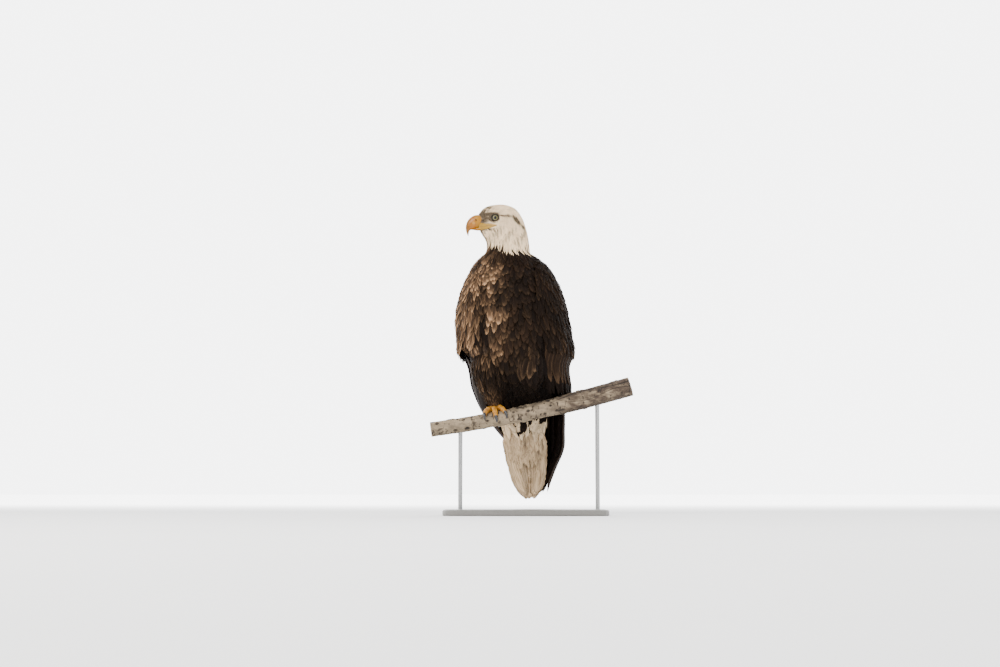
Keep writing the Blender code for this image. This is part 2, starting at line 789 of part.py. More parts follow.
# ---------------------------------------------------------------- the whole model
def main():
    clear_scene()
    body = frame("body_frame", (BODY_X, 0), BODY_TURN)
    face = frame("head_frame", HEAD_AT, HEAD_TURN)

    perch = make_perch()
    base = make_base()
    for side, x in zip(("right", "left"), ROD_X):
        make_rod(side, x)
        hole = make_rod(side, x, grow=GAP)
        combine(perch, hole, "DIFFERENCE")
        combine(base, hole, "DIFFERENCE")

    head = make_head(face)
    make_neck(face)
    upper, lower = make_bill(face)
    cut_to_fit(head, upper, lower)
    for side in SIDES:
        cut_to_fit(head, make_eye(side, face))

    trunk = make_trunk(body)
    make_tail(body)
    for side in SIDES:
        wing = make_wing(side, body)
        feathers = make_flight_feathers(side, body)
        rooms = make_wing_rooms(side, body)
        if side == "right":
            thigh = make_thigh(body)
            shank = make_shank()
            make_gripping_foot(shank)
            for toe in TOES:
                make_claw(toe)
            for room in rooms:
                combine(thigh, room, "DIFFERENCE")
            cut_to_fit(thigh, trunk, shank)
        else:
            shank = make_folded_shank(body)
            make_curled_foot(shank, body)
            rooms.append(make_fist_room(body))
        for room in rooms:
            combine(trunk, room, "DIFFERENCE")
        cut_to_fit(trunk, wing, feathers, shank)


main()
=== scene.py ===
# %% [markdown]
# # A bald eagle on its perch
# The bird is built as a taxidermist's model is: a smooth body form, a skin over it, and then
# thousands of separate feathers laid in rows from the bill to the tail. Every shape here is a
# function of two numbers, worked out with numpy on whole arrays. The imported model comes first,
# because each piece takes its place and its size from it.

import json
import math

import bpy
import numpy as np
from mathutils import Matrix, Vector

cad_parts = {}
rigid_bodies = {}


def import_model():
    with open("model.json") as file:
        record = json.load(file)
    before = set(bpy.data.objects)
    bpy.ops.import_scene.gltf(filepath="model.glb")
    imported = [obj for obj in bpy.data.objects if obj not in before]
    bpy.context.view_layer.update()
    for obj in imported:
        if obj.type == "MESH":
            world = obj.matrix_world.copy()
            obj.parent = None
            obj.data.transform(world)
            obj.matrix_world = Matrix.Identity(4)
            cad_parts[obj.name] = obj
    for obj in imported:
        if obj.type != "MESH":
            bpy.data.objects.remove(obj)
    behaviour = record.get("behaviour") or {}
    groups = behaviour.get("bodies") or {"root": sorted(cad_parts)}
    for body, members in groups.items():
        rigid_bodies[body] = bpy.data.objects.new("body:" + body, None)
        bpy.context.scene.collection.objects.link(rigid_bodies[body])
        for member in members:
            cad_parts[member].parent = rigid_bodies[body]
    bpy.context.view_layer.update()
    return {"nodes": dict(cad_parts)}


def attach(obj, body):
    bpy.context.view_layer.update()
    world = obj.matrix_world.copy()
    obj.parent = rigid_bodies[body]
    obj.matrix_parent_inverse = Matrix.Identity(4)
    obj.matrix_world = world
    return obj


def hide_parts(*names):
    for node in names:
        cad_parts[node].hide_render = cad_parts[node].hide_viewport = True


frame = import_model()

# %% [markdown]
# ## Meshes from arrays
# A mesh is three lists: points, the corners of its faces, and where each face starts. Blender can
# take them one by one, which is slow, or as whole arrays. The arrays are used here, so that a
# coat of ten thousand feathers is made as quickly as a single tube.


# %% Make a mesh from arrays
def in_scene(name, data):
    made = bpy.data.objects.new(name, data)
    bpy.context.scene.collection.objects.link(made)
    return made


def new_mesh(name, points, quads, triangles=np.zeros((0, 3), int)):
    """An object from an array of points, rows of four corners and rows of three corners."""
    mesh = bpy.data.meshes.new(name)
    corners = np.concatenate([quads.ravel(), triangles.ravel()]).astype(np.int32)
    starts = [4 * np.arange(len(quads)), quads.size + 3 * np.arange(len(triangles))]
    mesh.vertices.add(len(points))
    mesh.vertices.foreach_set("co", np.asarray(points, np.float32).ravel())
    mesh.loops.add(len(corners))
    mesh.loops.foreach_set("vertex_index", corners)
    mesh.polygons.add(len(quads) + len(triangles))
    mesh.polygons.foreach_set("loop_start", np.concatenate(starts).astype(np.int32))
    mesh.update(calc_edges=True)
    mesh.shade_smooth()
    return in_scene(name, mesh)


def mark(mesh, name, values):
    """A number or a colour kept at each point of a mesh, for a finish to read."""
    kind, key = ("FLOAT", "value") if values.ndim == 1 else ("FLOAT_COLOR", "color")
    layer = mesh.attributes.new(name, kind, "POINT")
    layer.data.foreach_set(key, values.astype(np.float32).ravel())


def tube_faces(rows, around):
    """The quads between rings of a tube, and fans from a point at each end that close it.
    The two end points come after the rings."""
    ring, step = np.indices((rows - 1, around))
    a, b = ring * around + step, ring * around + (step + 1) % around
    quads = np.stack([a, b, b + around, a + around], axis=-1).reshape(-1, 4)
    k = np.arange(around)
    turn, first, last = (k + 1) % around, np.full(around, rows * around), (rows - 1) * around
    start = np.stack([first, turn, k], axis=-1)
    end = np.stack([first + 1, last + k, last + turn], axis=-1)
    return quads, np.concatenate([start, end])


def outward(made):
    """Turns a closed piece's faces outwards. The volume under them is positive when they point
    outwards: the sum over the faces of area times place dotted with normal."""
    faces = made.data.polygons
    read = [np.empty(len(faces) * size) for size in (1, 3, 3)]
    for key, values in zip(("area", "center", "normal"), read):
        faces.foreach_get(key, values)
    area, centre, normal = (values.reshape(len(faces), -1) for values in read)
    if (area * centre * normal).sum() < 0:
        made.data.flip_normals()
    return made


def closed_tube(name, points):
    """A closed tube through rings of points, an array of (rings, points around, 3)."""
    quads, fans = tube_faces(*points.shape[:2])
    ends = points[[0, -1]].mean(axis=1)
    return outward(new_mesh(name, np.concatenate([points.reshape(-1, 3), ends]), quads, fans))


def xyz(*axes):
    """One array of places from an array or a number for each axis."""
    return np.stack(np.broadcast_arrays(*axes), axis=-1)


def grid(first, second):
    """Every pair of two lists of values: the first runs down and the second across."""
    return np.meshgrid(first, second, indexing="ij")


def circle(count):
    return np.linspace(0, 2 * math.pi, count, endpoint=False)


def unit(vectors):
    return vectors / np.maximum(np.linalg.norm(vectors, axis=-1, keepdims=True), 1e-9)


def smoothstep(low, high, value):
    """0 below low, 1 above high, and 3t^2 - 2t^3 between."""
    t = np.clip((value - low) / (high - low), 0, 1)
    return t * t * (3 - 2 * t)


def soft(value, middle, reach):
    """A Gaussian hill round one value."""
    return np.exp(-(((value - middle) / reach) ** 2))


def table(text, *parts):
    """Rows of whole numbers between commas, each column counted in so many parts of its unit."""
    return np.array([row.split() for row in text.split(",")], float) / parts


def read_rows(rows, at):
    """Rows of a table read between its stations on a smooth (Catmull-Rom) curve: each span is
    a cubic through its two stations, with slopes set by the stations before and after."""
    rows = np.vstack([2 * rows[0] - rows[1], rows, 2 * rows[-1] - rows[-2]])
    span = np.clip(np.floor(at).astype(int), 0, len(rows) - 4)
    t = (at - span)[..., None]
    before, start, end, after = (rows[span + k] for k in range(4))
    return 0.5 * (
        2 * start
        + (end - before) * t
        + (2 * before - 5 * start + 4 * end - after) * t**2
        + (3 * start - before - 3 * end + after) * t**3
    )


# %% [markdown]
# ## The body form
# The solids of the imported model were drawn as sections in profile: each row says where the back
# and the front of the body are, and how wide it is. The same rows are read here as smooth
# functions of two numbers, so that feathers can be laid on them at any place. The other way would
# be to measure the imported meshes, but those have coarse facets that would show in the coat.

# %% Sections of the body
BODY_TURN, HEAD_TURN = math.radians(-5), math.radians(-84)
BODY_AT, HEAD_AT = (-0.030, 0.0), (-0.048, -0.040)
LEAN, LEAN_FROM = 0.077, 0.470
SIDES = {"left": 1, "right": -1}
MM, TENTH_MM = 1000, 10000
# back forwards, back height, front forwards, front height, half width, midline
HEAD = table(
    """-600 7050 600 7050 600 0, -590 7300 560 7170 560 0, -555 7540 560 7300 520 0,
    -500 7760 600 7420 490 0, -400 8030 650 7490 455 0, -210 8280 690 7550 400 0,
    80 8385 715 7590 345 0, 380 8370 735 7620 280 0, 610 8270 750 7650 210 0,
    780 8110 760 7680 130 0""",
    TENTH_MM,
)
TRUNK = table(
    """-46 690 112 676 81 2, -76 650 124 630 101 0, -98 590 130 560 120 0,
    -112 515 128 480 132 0, -122 445 112 412 130 0, -129 388 78 362 118 0,
    -133 345 10 345 105 0, -136 305 -48 312 90 0, -137 270 -66 275 74 0,
    -137 235 -78 236 60 0""",
    MM,
)
TAIL = table(
    """-1360 2347 -785 2347 595 0, -1360 2000 -970 2000 590 0, -1430 1600 -1190 1600 560 0,
    -1495 1250 -1365 1250 510 0, -1550 940 -1470 940 460 0, -1580 700 -1525 700 385 0,
    -1600 530 -1550 530 270 0, -1600 435 -1570 435 110 0""",
    TENTH_MM,
)
# height, section centre forwards, half depth, thickness, back edge in degrees, width left, right
WING = table(
    """695 30 80 10 1120 88 78, 660 24 112 17 1360 117 102, 600 14 136 22 1600 142 134,
    520 6 142 24 1795 155 155, 450 -6 139 24 1795 159 153, 400 -20 129 18 1795 136 136,
    345 -44 108 14 1795 136 132, 280 -74 80 11 1795 134 114, 230 -104 60 10 1795 128 87,
    180 -134 38 8 1793 119 57, 120 -160 22 6 1790 86 42, 50 -175 12 4 1780 50 30""",
    MM, MM, MM, MM, 10, MM, MM,
)
# height, front edge of the coverts and of the flight feathers, in degrees from the breast
FRONT_EDGES = {
    "left": table("695 72 100, 660 54 100, 600 41 100, 520 37 98, 345 37 98, 50 37 104", MM, 1, 1),
    "right": table(
        """695 72 60, 660 54 60, 600 38 50, 520 33 46, 400 38 46, 345 40 52, 280 48 72,
        230 54 95, 180 60 116, 50 60 118""",
        MM, 1, 1,
    ),
}
COVERTS, FLIGHT = 1, 2
# angle of the front, height there, height at the back, and how the edge bends between
COVERTS_END = {"left": (37.0, 0.352, 0.290, 2.0), "right": (38.0, 0.450, 0.290, 2.4)}
# forwards, height, radius fore and aft, radius across
THIGH = table(
    "46 440 30 34, 56 406 48 49, 50 371 48 49, 34 342 40 42, 14 322 30 32, 4 306 20 23", MM
)
THIGH_OUT = -0.066
FIST_AT, FIST_HOCK = (0.044, 0.076, 0.388), (0.050, 0.022, 0.380)
FIST_CURL, FIST_ROOM = 0.0135, 0.0292
EYE_RADIUS, EYE_AT, EYE_OUT = 0.0125, (0.0350, 0.7970), 0.0240
# forwards and above from the eye, length, height and depth of the hills and hollows of the face
RELIEF = table(
    "60 125 260 62 42, -200 -260 240 160 25, 0 -10 150 95 -35, 260 -40 140 100 -40", TENTH_MM
)


def turned(points, place, turn):
    """Points of a frame turned about the upright axis by an angle, and moved to its place."""
    x, y, z = np.moveaxis(points, -1, 0)
    c, s = math.cos(turn), math.sin(turn)
    return xyz(place[0] + c * x - s * y, place[1] + s * x + c * y, z)


def in_body(points):
    """Body points leaned sideways with height, then turned as the body is."""
    x, y, z = np.moveaxis(points, -1, 0)
    return turned(xyz(x + LEAN * (LEAN_FROM - z), y, z), BODY_AT, BODY_TURN)


def in_head(points):
    return turned(points, HEAD_AT, HEAD_TURN)


def head_coordinates(points):
    """The other way round: left, forwards and height in the head's own frame."""
    x, y = points[..., 0] - HEAD_AT[0], points[..., 1] - HEAD_AT[1]
    c, s = math.cos(HEAD_TURN), math.sin(HEAD_TURN)
    return c * x + s * y, s * x - c * y, points[..., 2]


def section(rows, at, angle, squareness=2.0):
    """Middle + half chord x cos(angle) + half width x sin(angle): an ellipse leaned in profile.
    The angle runs from the back, 0, over the bird's left side to the front, pi."""
    back_f, back_z, front_f, front_z, half, mid = np.moveaxis(read_rows(rows, at), -1, 0)
    c, s = (np.sign(v) * np.abs(v) ** (2 / squareness) for v in (np.cos(angle), np.sin(angle)))
    forwards = (back_f + front_f) / 2 + (back_f - front_f) / 2 * c
    return xyz(mid + half * s, -forwards, (back_z + front_z) / 2 + (back_z - front_z) / 2 * c)


def face_relief(points):
    """Brow ridges over the eyes and hollows before and around them, as soft Gaussian hills."""
    x, y, height = np.moveaxis(points, -1, 0)
    out = 0
    for ahead, above, length, tall, high in RELIEF:
        hill = soft(-y, EYE_AT[0] + ahead, length) * soft(height, EYE_AT[1] + above, tall)
        out = out + high * hill
    return xyz(x + out * np.clip(x / 0.02, -1, 1), y, height)


def head_form(at, angle):
    return in_head(face_relief(section(HEAD, at, angle)))


NECK_RADIUS, NECK_Z = 0.060, 0.705
neck_x, neck_y = HEAD_AT[0] - BODY_AT[0], HEAD_AT[1]
c, s = math.cos(BODY_TURN), math.sin(BODY_TURN)
neck_f, neck_mid = s * neck_x - c * neck_y, c * neck_x + s * neck_y - LEAN * (LEAN_FROM - NECK_Z)
neck_row = (neck_f - NECK_RADIUS, NECK_Z, neck_f + NECK_RADIUS, NECK_Z, NECK_RADIUS, neck_mid)
TRUNK_ROWS = np.vstack([neck_row, TRUNK])


def trunk_form(at, angle):
    return in_body(section(TRUNK_ROWS, at, angle))


def tail_form(at, angle):
    return in_body(section(TAIL, at, angle, squareness=2.3))


def thigh_form(at, angle):
    """The feathered thigh of the right leg. The left leg is drawn up into the belly."""
    forwards, height, fore, across = np.moveaxis(read_rows(THIGH, at), -1, 0)
    x = THIGH_OUT + across * np.sin(angle)
    return in_body(xyz(x, -forwards + fore * np.cos(angle), height))


fine_wing = read_rows(WING, np.linspace(0, len(WING) - 1, 200))[::-1]


def wing_values(height, column):
    return np.interp(height, fine_wing[:, 0], fine_wing[:, column])


def wing_angle(side, height, share, layer):
    edges = FRONT_EDGES[side][::-1]
    front = np.interp(height, edges[:, 0], edges[:, layer])
    return front + (np.minimum(wing_values(height, 4), 179.5) - front) * share


def coverts_edge(side, share, layer):
    """The height where the coverts stop, at one share of a layer's width. The angle and the
    height hang on each other, so they are worked out in turn until they agree."""
    start, front, back, bend = COVERTS_END[side]
    height = np.full_like(share, 0.4)
    for _ in range(6):
        angle = wing_angle(side, height, share, layer)
        height = front + (back - front) * np.clip((angle - start) / (180 - start), 0, 1) ** bend
    return height


def wing_form(side, layer, deep=0.0):
    """The folded wing: at each height a part of an ellipse round the body, from the front edge,
    share 0, to the back edge, share 1. It is thinner at both edges."""

    def form(height, share):
        centre, depth, thick = (wing_values(height, k) for k in (1, 2, 3))
        width = wing_values(height, 5 if side == "left" else 6)
        angle = np.radians(wing_angle(side, height, share, layer))
        rim = 1 - 0.75 * np.abs(2 * np.clip(share, 0, 1) - 1) ** 4
        inset = thick * (1 - (1 - deep) * rim)
        if layer == COVERTS:
            inset = inset - 0.010 * np.clip((0.47 - height) / 0.05, 0, 1) * rim
        forwards = centre + (depth - inset) * np.cos(angle)
        return in_body(xyz(SIDES[side] * (width - inset) * np.sin(angle), -forwards, height))

    return form


print("head half width at the eye:", round(float(read_rows(HEAD, np.array(6.0))[4]), 4))

# %% [markdown]
# ## Nets: a surface that feathers can be laid on
# A feather lies along the body, so it is easiest drawn flat, as so many millimetres along and so
# many across, and then laid on the surface. A net does that: its columns run the way the
# feathers lie, its knots are evenly spaced down each column, and a place between knots is read by
# linear interpolation. Blender's own hair system would do this too, but its hairs don't stay
# with the model as meshes.


# %% Weave a net and read places on it
def even_steps(points):
    """Moves the knots of each column along it until they are evenly spaced. The columns are laid
    end to end on one long ruler, so that a single interpolation serves them all."""
    rows, columns, _ = points.shape
    step = np.linalg.norm(np.diff(points, axis=0), axis=-1)
    run = np.concatenate([np.zeros((1, columns)), np.cumsum(step, axis=0)])
    shift = 2 * np.arange(columns)
    ruler = (run / run[-1] + shift).T.ravel()
    wanted = (np.linspace(0, 1, rows)[:, None] + shift).T.ravel()
    axes = [np.interp(wanted, ruler, points[..., k].T.ravel()) for k in range(3)]
    return xyz(*axes).reshape(columns, rows, 3).transpose(1, 0, 2), run[-1]


def weave(points, closed, out_from=None):
    """A net with a normal and the size of its meshes at every knot."""
    points, total = even_steps(points)
    down, across = np.gradient(points, axis=(0, 1))
    if closed:
        across = (np.roll(points, -1, axis=1) - np.roll(points, 1, axis=1)) / 2
    normal = unit(np.cross(down, across))
    middle = points.mean(axis=1, keepdims=True) if out_from is None else out_from
    handed = 1 if ((points - middle) * normal).sum() >= 0 else -1
    return {
        "points": points,
        "normal": normal * handed,
        "across": np.maximum(np.linalg.norm(across, axis=-1), 2e-4),
        "step": total / (len(points) - 1),
        "closed": closed,
        "handed": handed,
    }


def form_net(form, along, across, rows, columns, closed=False, out_from=None):
    """A net over a form, between two ends of its first number and two of its second."""
    u, v = np.linspace(*along, rows), np.linspace(*across, columns, endpoint=not closed)
    return weave(form(*grid(u, v)), closed, out_from)


def read_net(net, key, i, j):
    """A value between knots: the four around it, weighted by how near they are. Past an edge
    a place carries straight on."""
    knots = net[key] if net[key].ndim == 3 else net[key][..., None]
    rows, columns = knots.shape[:2]
    row, column = np.clip(np.floor(i), 0, rows - 2).astype(int), np.floor(j).astype(int)
    if not net["closed"]:
        column = np.clip(column, 0, columns - 2)
    ti, tj = (i - row)[..., None], (j - column)[..., None]
    if key != "points":
        ti, tj = np.clip(ti, 0, 1), np.clip(tj, 0, 1)
    left, right = column % columns, (column + 1) % columns
    low = knots[row, left] * (1 - tj) + knots[row, right] * tj
    high = knots[row + 1, left] * (1 - tj) + knots[row + 1, right] * tj
    return low + (high - low) * ti


def step_at(net, j):
    """Metres from one knot to the next down a column."""
    columns = len(net["step"])
    return np.interp(np.mod(j, columns), np.arange(columns), net["step"])


def shown_places(net, i, j, length):
    """Where the uncovered part of each feather lies, three quarters of the way to its tip."""
    return read_net(net, "points", i + 0.75 * length / step_at(net, j), j)


def root_places(net, columns, reach, length_at, share, seed, wander=0.25):
    """Where feathers grow: columns of roots, one pitch apart, each column half a pitch on from
    the last. The pitch is a share of the feather's length, which may change over the net. The
    count down a column is the sum of step / pitch, and a root stands at each whole number."""
    rng = np.random.default_rng(seed)
    j = np.linspace(*reach, columns, endpoint=not net["closed"])
    spacing = (reach[1] - reach[0]) / columns
    i, order = np.arange(len(net["points"]), dtype=float), np.arange(columns)
    pitch = length_at(read_net(net, "points", *grid(i, j))) * share
    count = np.cumsum(np.interp(j, np.arange(len(net["step"])), net["step"]) / pitch, axis=0)
    most = int(count[-1].max()) + 1
    phase = 0.5 * (order % 2) + rng.random(columns) * 0.15
    wanted = np.arange(most)[:, None] + phase + (rng.random((most, columns)) - 0.5) * wander
    gap = (count[-1].max() + 10) * order
    found = np.interp((wanted + gap).ravel(), (count + gap).T.ravel(), np.tile(i, columns))
    keep = ((wanted >= count[0]) & (wanted <= count[-1])).ravel()
    found_j = (j + (rng.random((most, columns)) - 0.5) * spacing * wander * 2).ravel()
    return found[keep], found_j[keep], rng


# %% [markdown]
# ## One feather
# A vane is a thin closed blade: a fan of points at the quill end, a few rows of points across the
# vane, and a point at the tip. Its outline widens from the quill and rounds or sharpens to the
# tip. The vane arches a little across, its tip lifts off the coat, and its edges are ragged where
# the barbs have parted. One small pattern of faces is repeated for every feather of a piece.


# %% The pattern of one vane
def vane_pattern(rows, across):
    """Place along (0 to 1), across (-1 to 1), face (1 upper, -1 lower) and row of each point,
    then the faces. A row is the upper points from edge to edge and one point under them."""
    row = np.append(np.repeat(np.arange(1, rows), across + 1), [0, rows])
    t = np.append(np.tile(np.append(np.linspace(-1, 1, across), 0), rows - 1), [0, 0])
    upper = np.append(np.tile(np.append(np.ones(across), -1), rows - 1), [0, 0])
    return (row / rows) ** 0.9, t, upper, row, *tube_faces(rows - 1, across + 1)


def lay_feathers(name, net, i, j, rng, length, width, look, pattern=(8, 5), scatter=0.16, **more):
    """A coat piece. For each feather: s runs 0 to 1 along it, t runs -1 to 1 across it.
    Half width = width x min(1, quill + rise s) x (1 - s^point)^round, made ragged.
    Height over the net = base + length (tilt s + curl s^2) - arch width t^2 + thickness."""
    count = len(i)
    s, t, upper, row, quads, fans = vane_pattern(*pattern)

    def each(value):
        return np.broadcast_to(np.asarray(value, float), (count,))[:, None]

    def given(key, default):
        return each(more.get(key, default))

    def at_random():
        return rng.random((count, 1))

    length = each(length)
    outline = np.minimum(1, 0.30 + given("rise", 2.2) * s)
    outline = outline * (1 - s ** given("point", 2.6)) ** given("round", 0.8)
    torn = rng.random((count, pattern[0] + 1, 2)) ** 3
    half = each(width) * outline * (1 - given("rag", 0.25) * torn[:, row, (t > 0).astype(int)])
    skew = given("skew", 0.0) + (at_random() - 0.5) * scatter
    bend = (at_random() - 0.5) * 0.10
    x, y = length * s, half * t + length * bend * s**2
    along, sideways = x * np.cos(skew) - y * np.sin(skew), x * np.sin(skew) + y * np.cos(skew)
    to_i = i[:, None] + along / step_at(net, j)[:, None]
    to_j = j[:, None] + sideways / read_net(net, "across", to_i, j[:, None] + 0 * to_i)[..., 0]
    tilt = given("tilt", 0.06) * (0.75 + 0.5 * at_random())
    curl = given("curl", 0.02) * (0.4 + 1.2 * at_random())
    height = given("base", -0.003) + at_random() * given("loose", 0.0006)
    height = height + length * (tilt * s + curl * s**2) - given("arch", 0.22) * half * t**2
    height = height + upper * given("thick", 0.0004) * (1 - t**2)
    place, normal = (read_net(net, key, to_i, to_j) for key in ("points", "normal"))
    points = place + normal * height[..., None]

    size = len(s)
    shift = (np.arange(count) * size)[:, None, None]
    quads, fans = (faces[:, :: net["handed"]] for faces in (quads, fans))
    every = [(faces[None] + shift).reshape(-1, faces.shape[1]) for faces in (quads, fans)]
    made = new_mesh(name, points.reshape(-1, 3), *every)
    whose, own = np.divmod(np.concatenate([faces.ravel() for faces in every]), size)
    rows, columns = net["points"].shape[:2]
    spot = np.stack([np.mod(j / columns, 1), i / rows], axis=-1) * 0.95 + 0.02
    bake = spot[whose] + 0.003 * np.stack([t[own] / 2, s[own] - 0.5], axis=-1)
    vane = np.stack([t[own] / 2 + 0.5, s[own]], axis=-1)
    for layer, values in (("OFBake", bake), ("Vane", vane)):
        uv = made.data.uv_layers.new(name=layer)
        uv.uv.foreach_set("vector", values.astype(np.float32).ravel())
    mark(made.data, "tone", np.repeat(look, size, axis=0))
    print(f"{name}: {count} feathers, {(2 * len(quads) + len(fans)) * count} triangles")
    return made


# %% [markdown]
# ## Markings
# The skin and the coat carry the same markings, so both ask the same function. It takes places on
# the bird and gives four numbers for each: how dusky it is, how buff its edges are, a number of
# its own for small differences, and whether the place is white. A painted picture wrapped round
# the bird would be the other way, but rules like these hold from every side. Some of the dark is
# painted shade: under the brow ridge, between the neck's hackles, at the wings' front edges, under
# the belly and down the tail under the perch.

# %% Rules for the markings
# strength, forwards, height, length, tall, slope, and whether a dark spot of the head is kept to
# its sides and broken into streaks: forehead, lore, brow, line past the eye, ear, chin, crown. The
# brow's long thin line, the sixth row, is painted shadow under the brow ridge.
SPOTS = table(
    """130 660 8150 60 35 -50 0 0, 110 500 8270 60 30 -30 0 0, 55 550 8190 220 90 -40 0 1,
    45 680 7865 140 50 0 1 0, 12 0 7900 300 140 0 1 0, 190 510 8088 200 36 -3 1 0,
    110 80 8010 180 30 5 1 0, 90 10 8020 40 30 0 1 0, 260 -225 7890 85 65 75 1 0,
    160 -410 7720 50 50 60 1 0, 140 600 7640 240 26 0 1 0, 90 380 7590 100 22 0 1 1,
    35 -100 8230 300 50 -20 1 1""",
    100, TENTH_MM, TENTH_MM, TENTH_MM, TENTH_MM, 100, 1, 1,
)


def waves(points, size, seed):
    """Soft blotches between 0 and 1: a few sine waves of random direction, added up."""
    rng = np.random.default_rng(seed)
    total = 0
    for k in range(5):
        direction = unit(rng.normal(size=3)) * (2 * math.pi / size) * (0.7 + 0.3 * k)
        total = total + np.sin(points @ direction + rng.random() * 6.3) / (1 + 0.4 * k)
    return 0.5 + 0.5 * np.tanh(total * 0.8)


def from_eye(forwards, height):
    """Distance from the middle of the open eye in profile, a little shorter along the head."""
    return np.hypot((forwards - EYE_AT[0] - 0.0020) / 1.06, height - EYE_AT[1])


def head_duskiness(points):
    """The spots, with the dark middle of the forehead, the lore, the ring of the eye and lines
    down the neck. The brow's line is painted shadow under the brow ridge, and the lines down the
    neck are painted shade between the hackles."""
    x, forwards, height = head_coordinates(points)

    def spot(f, z, length, tall, slope=0.0):
        return soft(forwards, f, length) * soft(height - slope * (forwards - f), z, tall)

    streaky = smoothstep(0.35, 0.62, waves(points * [1, 1, 0.6], 0.0065, 3))
    # The lines down the neck are painted shade between the hackles.
    lines = smoothstep(0.50, 0.85, waves(points * [1, 1, 0.30], 0.010, 4))
    side = smoothstep(0.004, 0.009, np.abs(x))
    dusk = 1.5 * soft(x, 0.0, 0.011) * soft(forwards, 0.072, 0.026) * (0.30 + 0.70 * streaky)
    for strength, f, z, length, tall, slope, sided, streaked in SPOTS:
        share = strength * (side if sided else 1) * (streaky if streaked else 1)
        dusk = dusk + share * spot(f, z, length, tall, slope)
    lore = spot(0.063, 0.7970, 0.018, 0.0115) * (0.85 + 0.30 * waves(points, 0.006, 7))
    ring = soft(from_eye(forwards, height), 0.0095, 0.0036)
    neck = smoothstep(0.785, 0.755, height) * smoothstep(0.698, 0.712, height)
    return np.clip(dusk + side * (1.12 * lore + 1.60 * ring) + 0.52 * lines * neck, 0, 1)


def white_border(points):
    """Height of the lower edge of the white, which hangs to a point at the side of the neck."""
    return 0.6985 + 0.0190 * smoothstep(0.008, 0.050, head_coordinates(points)[1])


def is_white(points):
    """True above the border at the neck and below the wedge where the brown ends at the vent."""
    x, height = points[..., 0], points[..., 2]
    return (height > white_border(points)) | (height < 0.262 - 0.042 * soft(x, -0.004, 0.018))


def tail_duskiness(points):
    """Painted shade down the middle, under the perch, and greyer at the bird's left edge."""
    x, height = points[..., 0], points[..., 2]
    # Painted shade down the tail's middle, under the perch.
    middle = 0.50 * soft(x, 0.002, 0.011) * soft(height, 0.225, 0.050)
    return 0.10 + middle + 0.20 * smoothstep(0.016, 0.045, x) + 0.26 * waves(points, 0.020, 6)


def brown_shade(points):
    """Brown places as (dark, buff). The bird's right is streaked with buff in patches, the middle
    and left of the breast are nearly black and the belly is scaled. Painted shade blackens the
    underside below the belly, round the vent, and the gaps where the wings' front edges meet the
    breast, where the flank feathers are a little darker too."""
    x, y, height = np.moveaxis(points, -1, 0)

    def patch(across, reach, up, tall):
        return soft(x, across, reach) * soft(height, up, tall)

    facing = 0.30 + 0.70 * smoothstep(0.050, 0.005, y)
    right = smoothstep(-0.035, -0.115, x) * facing
    right = right * (1 - 0.6 * smoothstep(0.49, 0.45, height) * smoothstep(-0.15, -0.12, x))
    right = right * (1 - 0.30 * smoothstep(0.51, 0.57, height))
    right = right + 0.25 * smoothstep(-0.12, -0.15, x) * facing
    right = right * (1 - 0.9 * smoothstep(-0.114, -0.127, x) * smoothstep(0.425, 0.405, height))
    patches, small = (smoothstep(0.15, 0.85, waves(points, *w)) for w in ((0.075, 11), (0.028, 12)))
    belly, flank = patch(-0.048, 0.040, 0.445, 0.042), patch(0.024, 0.030, 0.396, 0.026)
    # Painted shade in the gaps where the wings' front edges meet the breast; the flank feathers
    # under the wings are a little darker there too.
    gap = soft(x, 0.046, 0.015) * smoothstep(0.49, 0.45, height) * smoothstep(0.25, 0.0, y)
    gap = gap + 1.3 * patch(-0.118, 0.014, 0.478, 0.045)
    left_low = smoothstep(0.06, 0.085, x) * smoothstep(0.47, 0.42, height)
    # Painted shade on the underside below the belly, round the vent.
    vent = smoothstep(0.375, 0.352, height) * smoothstep(-0.085, -0.045, x)
    vent = vent * smoothstep(0.30, 0.20, x)
    buff = 0.005 + 1.10 * right * (0.30 + 0.70 * patches) * (0.25 + 0.90 * small)
    buff = buff + 0.04 * belly + 0.20 * flank + 0.20 * left_low * small + 0.025 * small
    dark = 0.95 - 0.90 * right * (0.55 + 0.45 * small) - 0.25 * belly - 0.20 * flank
    dark = dark + 0.40 * (0.5 - patches)
    return np.clip(dark + vent + gap, 0, 1), np.clip(buff * (1 - vent) * (1 - gap), 0.01, 1)


def markings(points, rng, white):
    """The four numbers for each place, as rows of (dark, buff, own, white)."""
    dark, buff = brown_shade(points)
    dusk = np.where(points[:, 2] > 0.5, head_duskiness(points), tail_duskiness(points))
    buff = buff * (0.5 + 1.1 * rng.random(len(points)))
    buff = np.where(white, 0.15 + 0.7 * waves(points, 0.020, 5), buff)
    own = rng.random(len(points))
    return xyz(np.where(white, dusk, dark), np.minimum(buff, 1), own, white * 1.0)


# %% [markdown]
# ## Shader maths as expressions
# A material is a small calculation for each point of a surface. Blender wires it from nodes, and
# long chains are hard to read. Here a socket is wrapped in a class that understands + - * /, so
# a formula reads as a formula, while the nodes are still there to look at in the editor.


# %% Wrap sockets and nodes
def operator(operation, swapped=False):
    """A method that adds one maths node."""
    return lambda self, other=0.0: self.maths(operation, other, swapped)


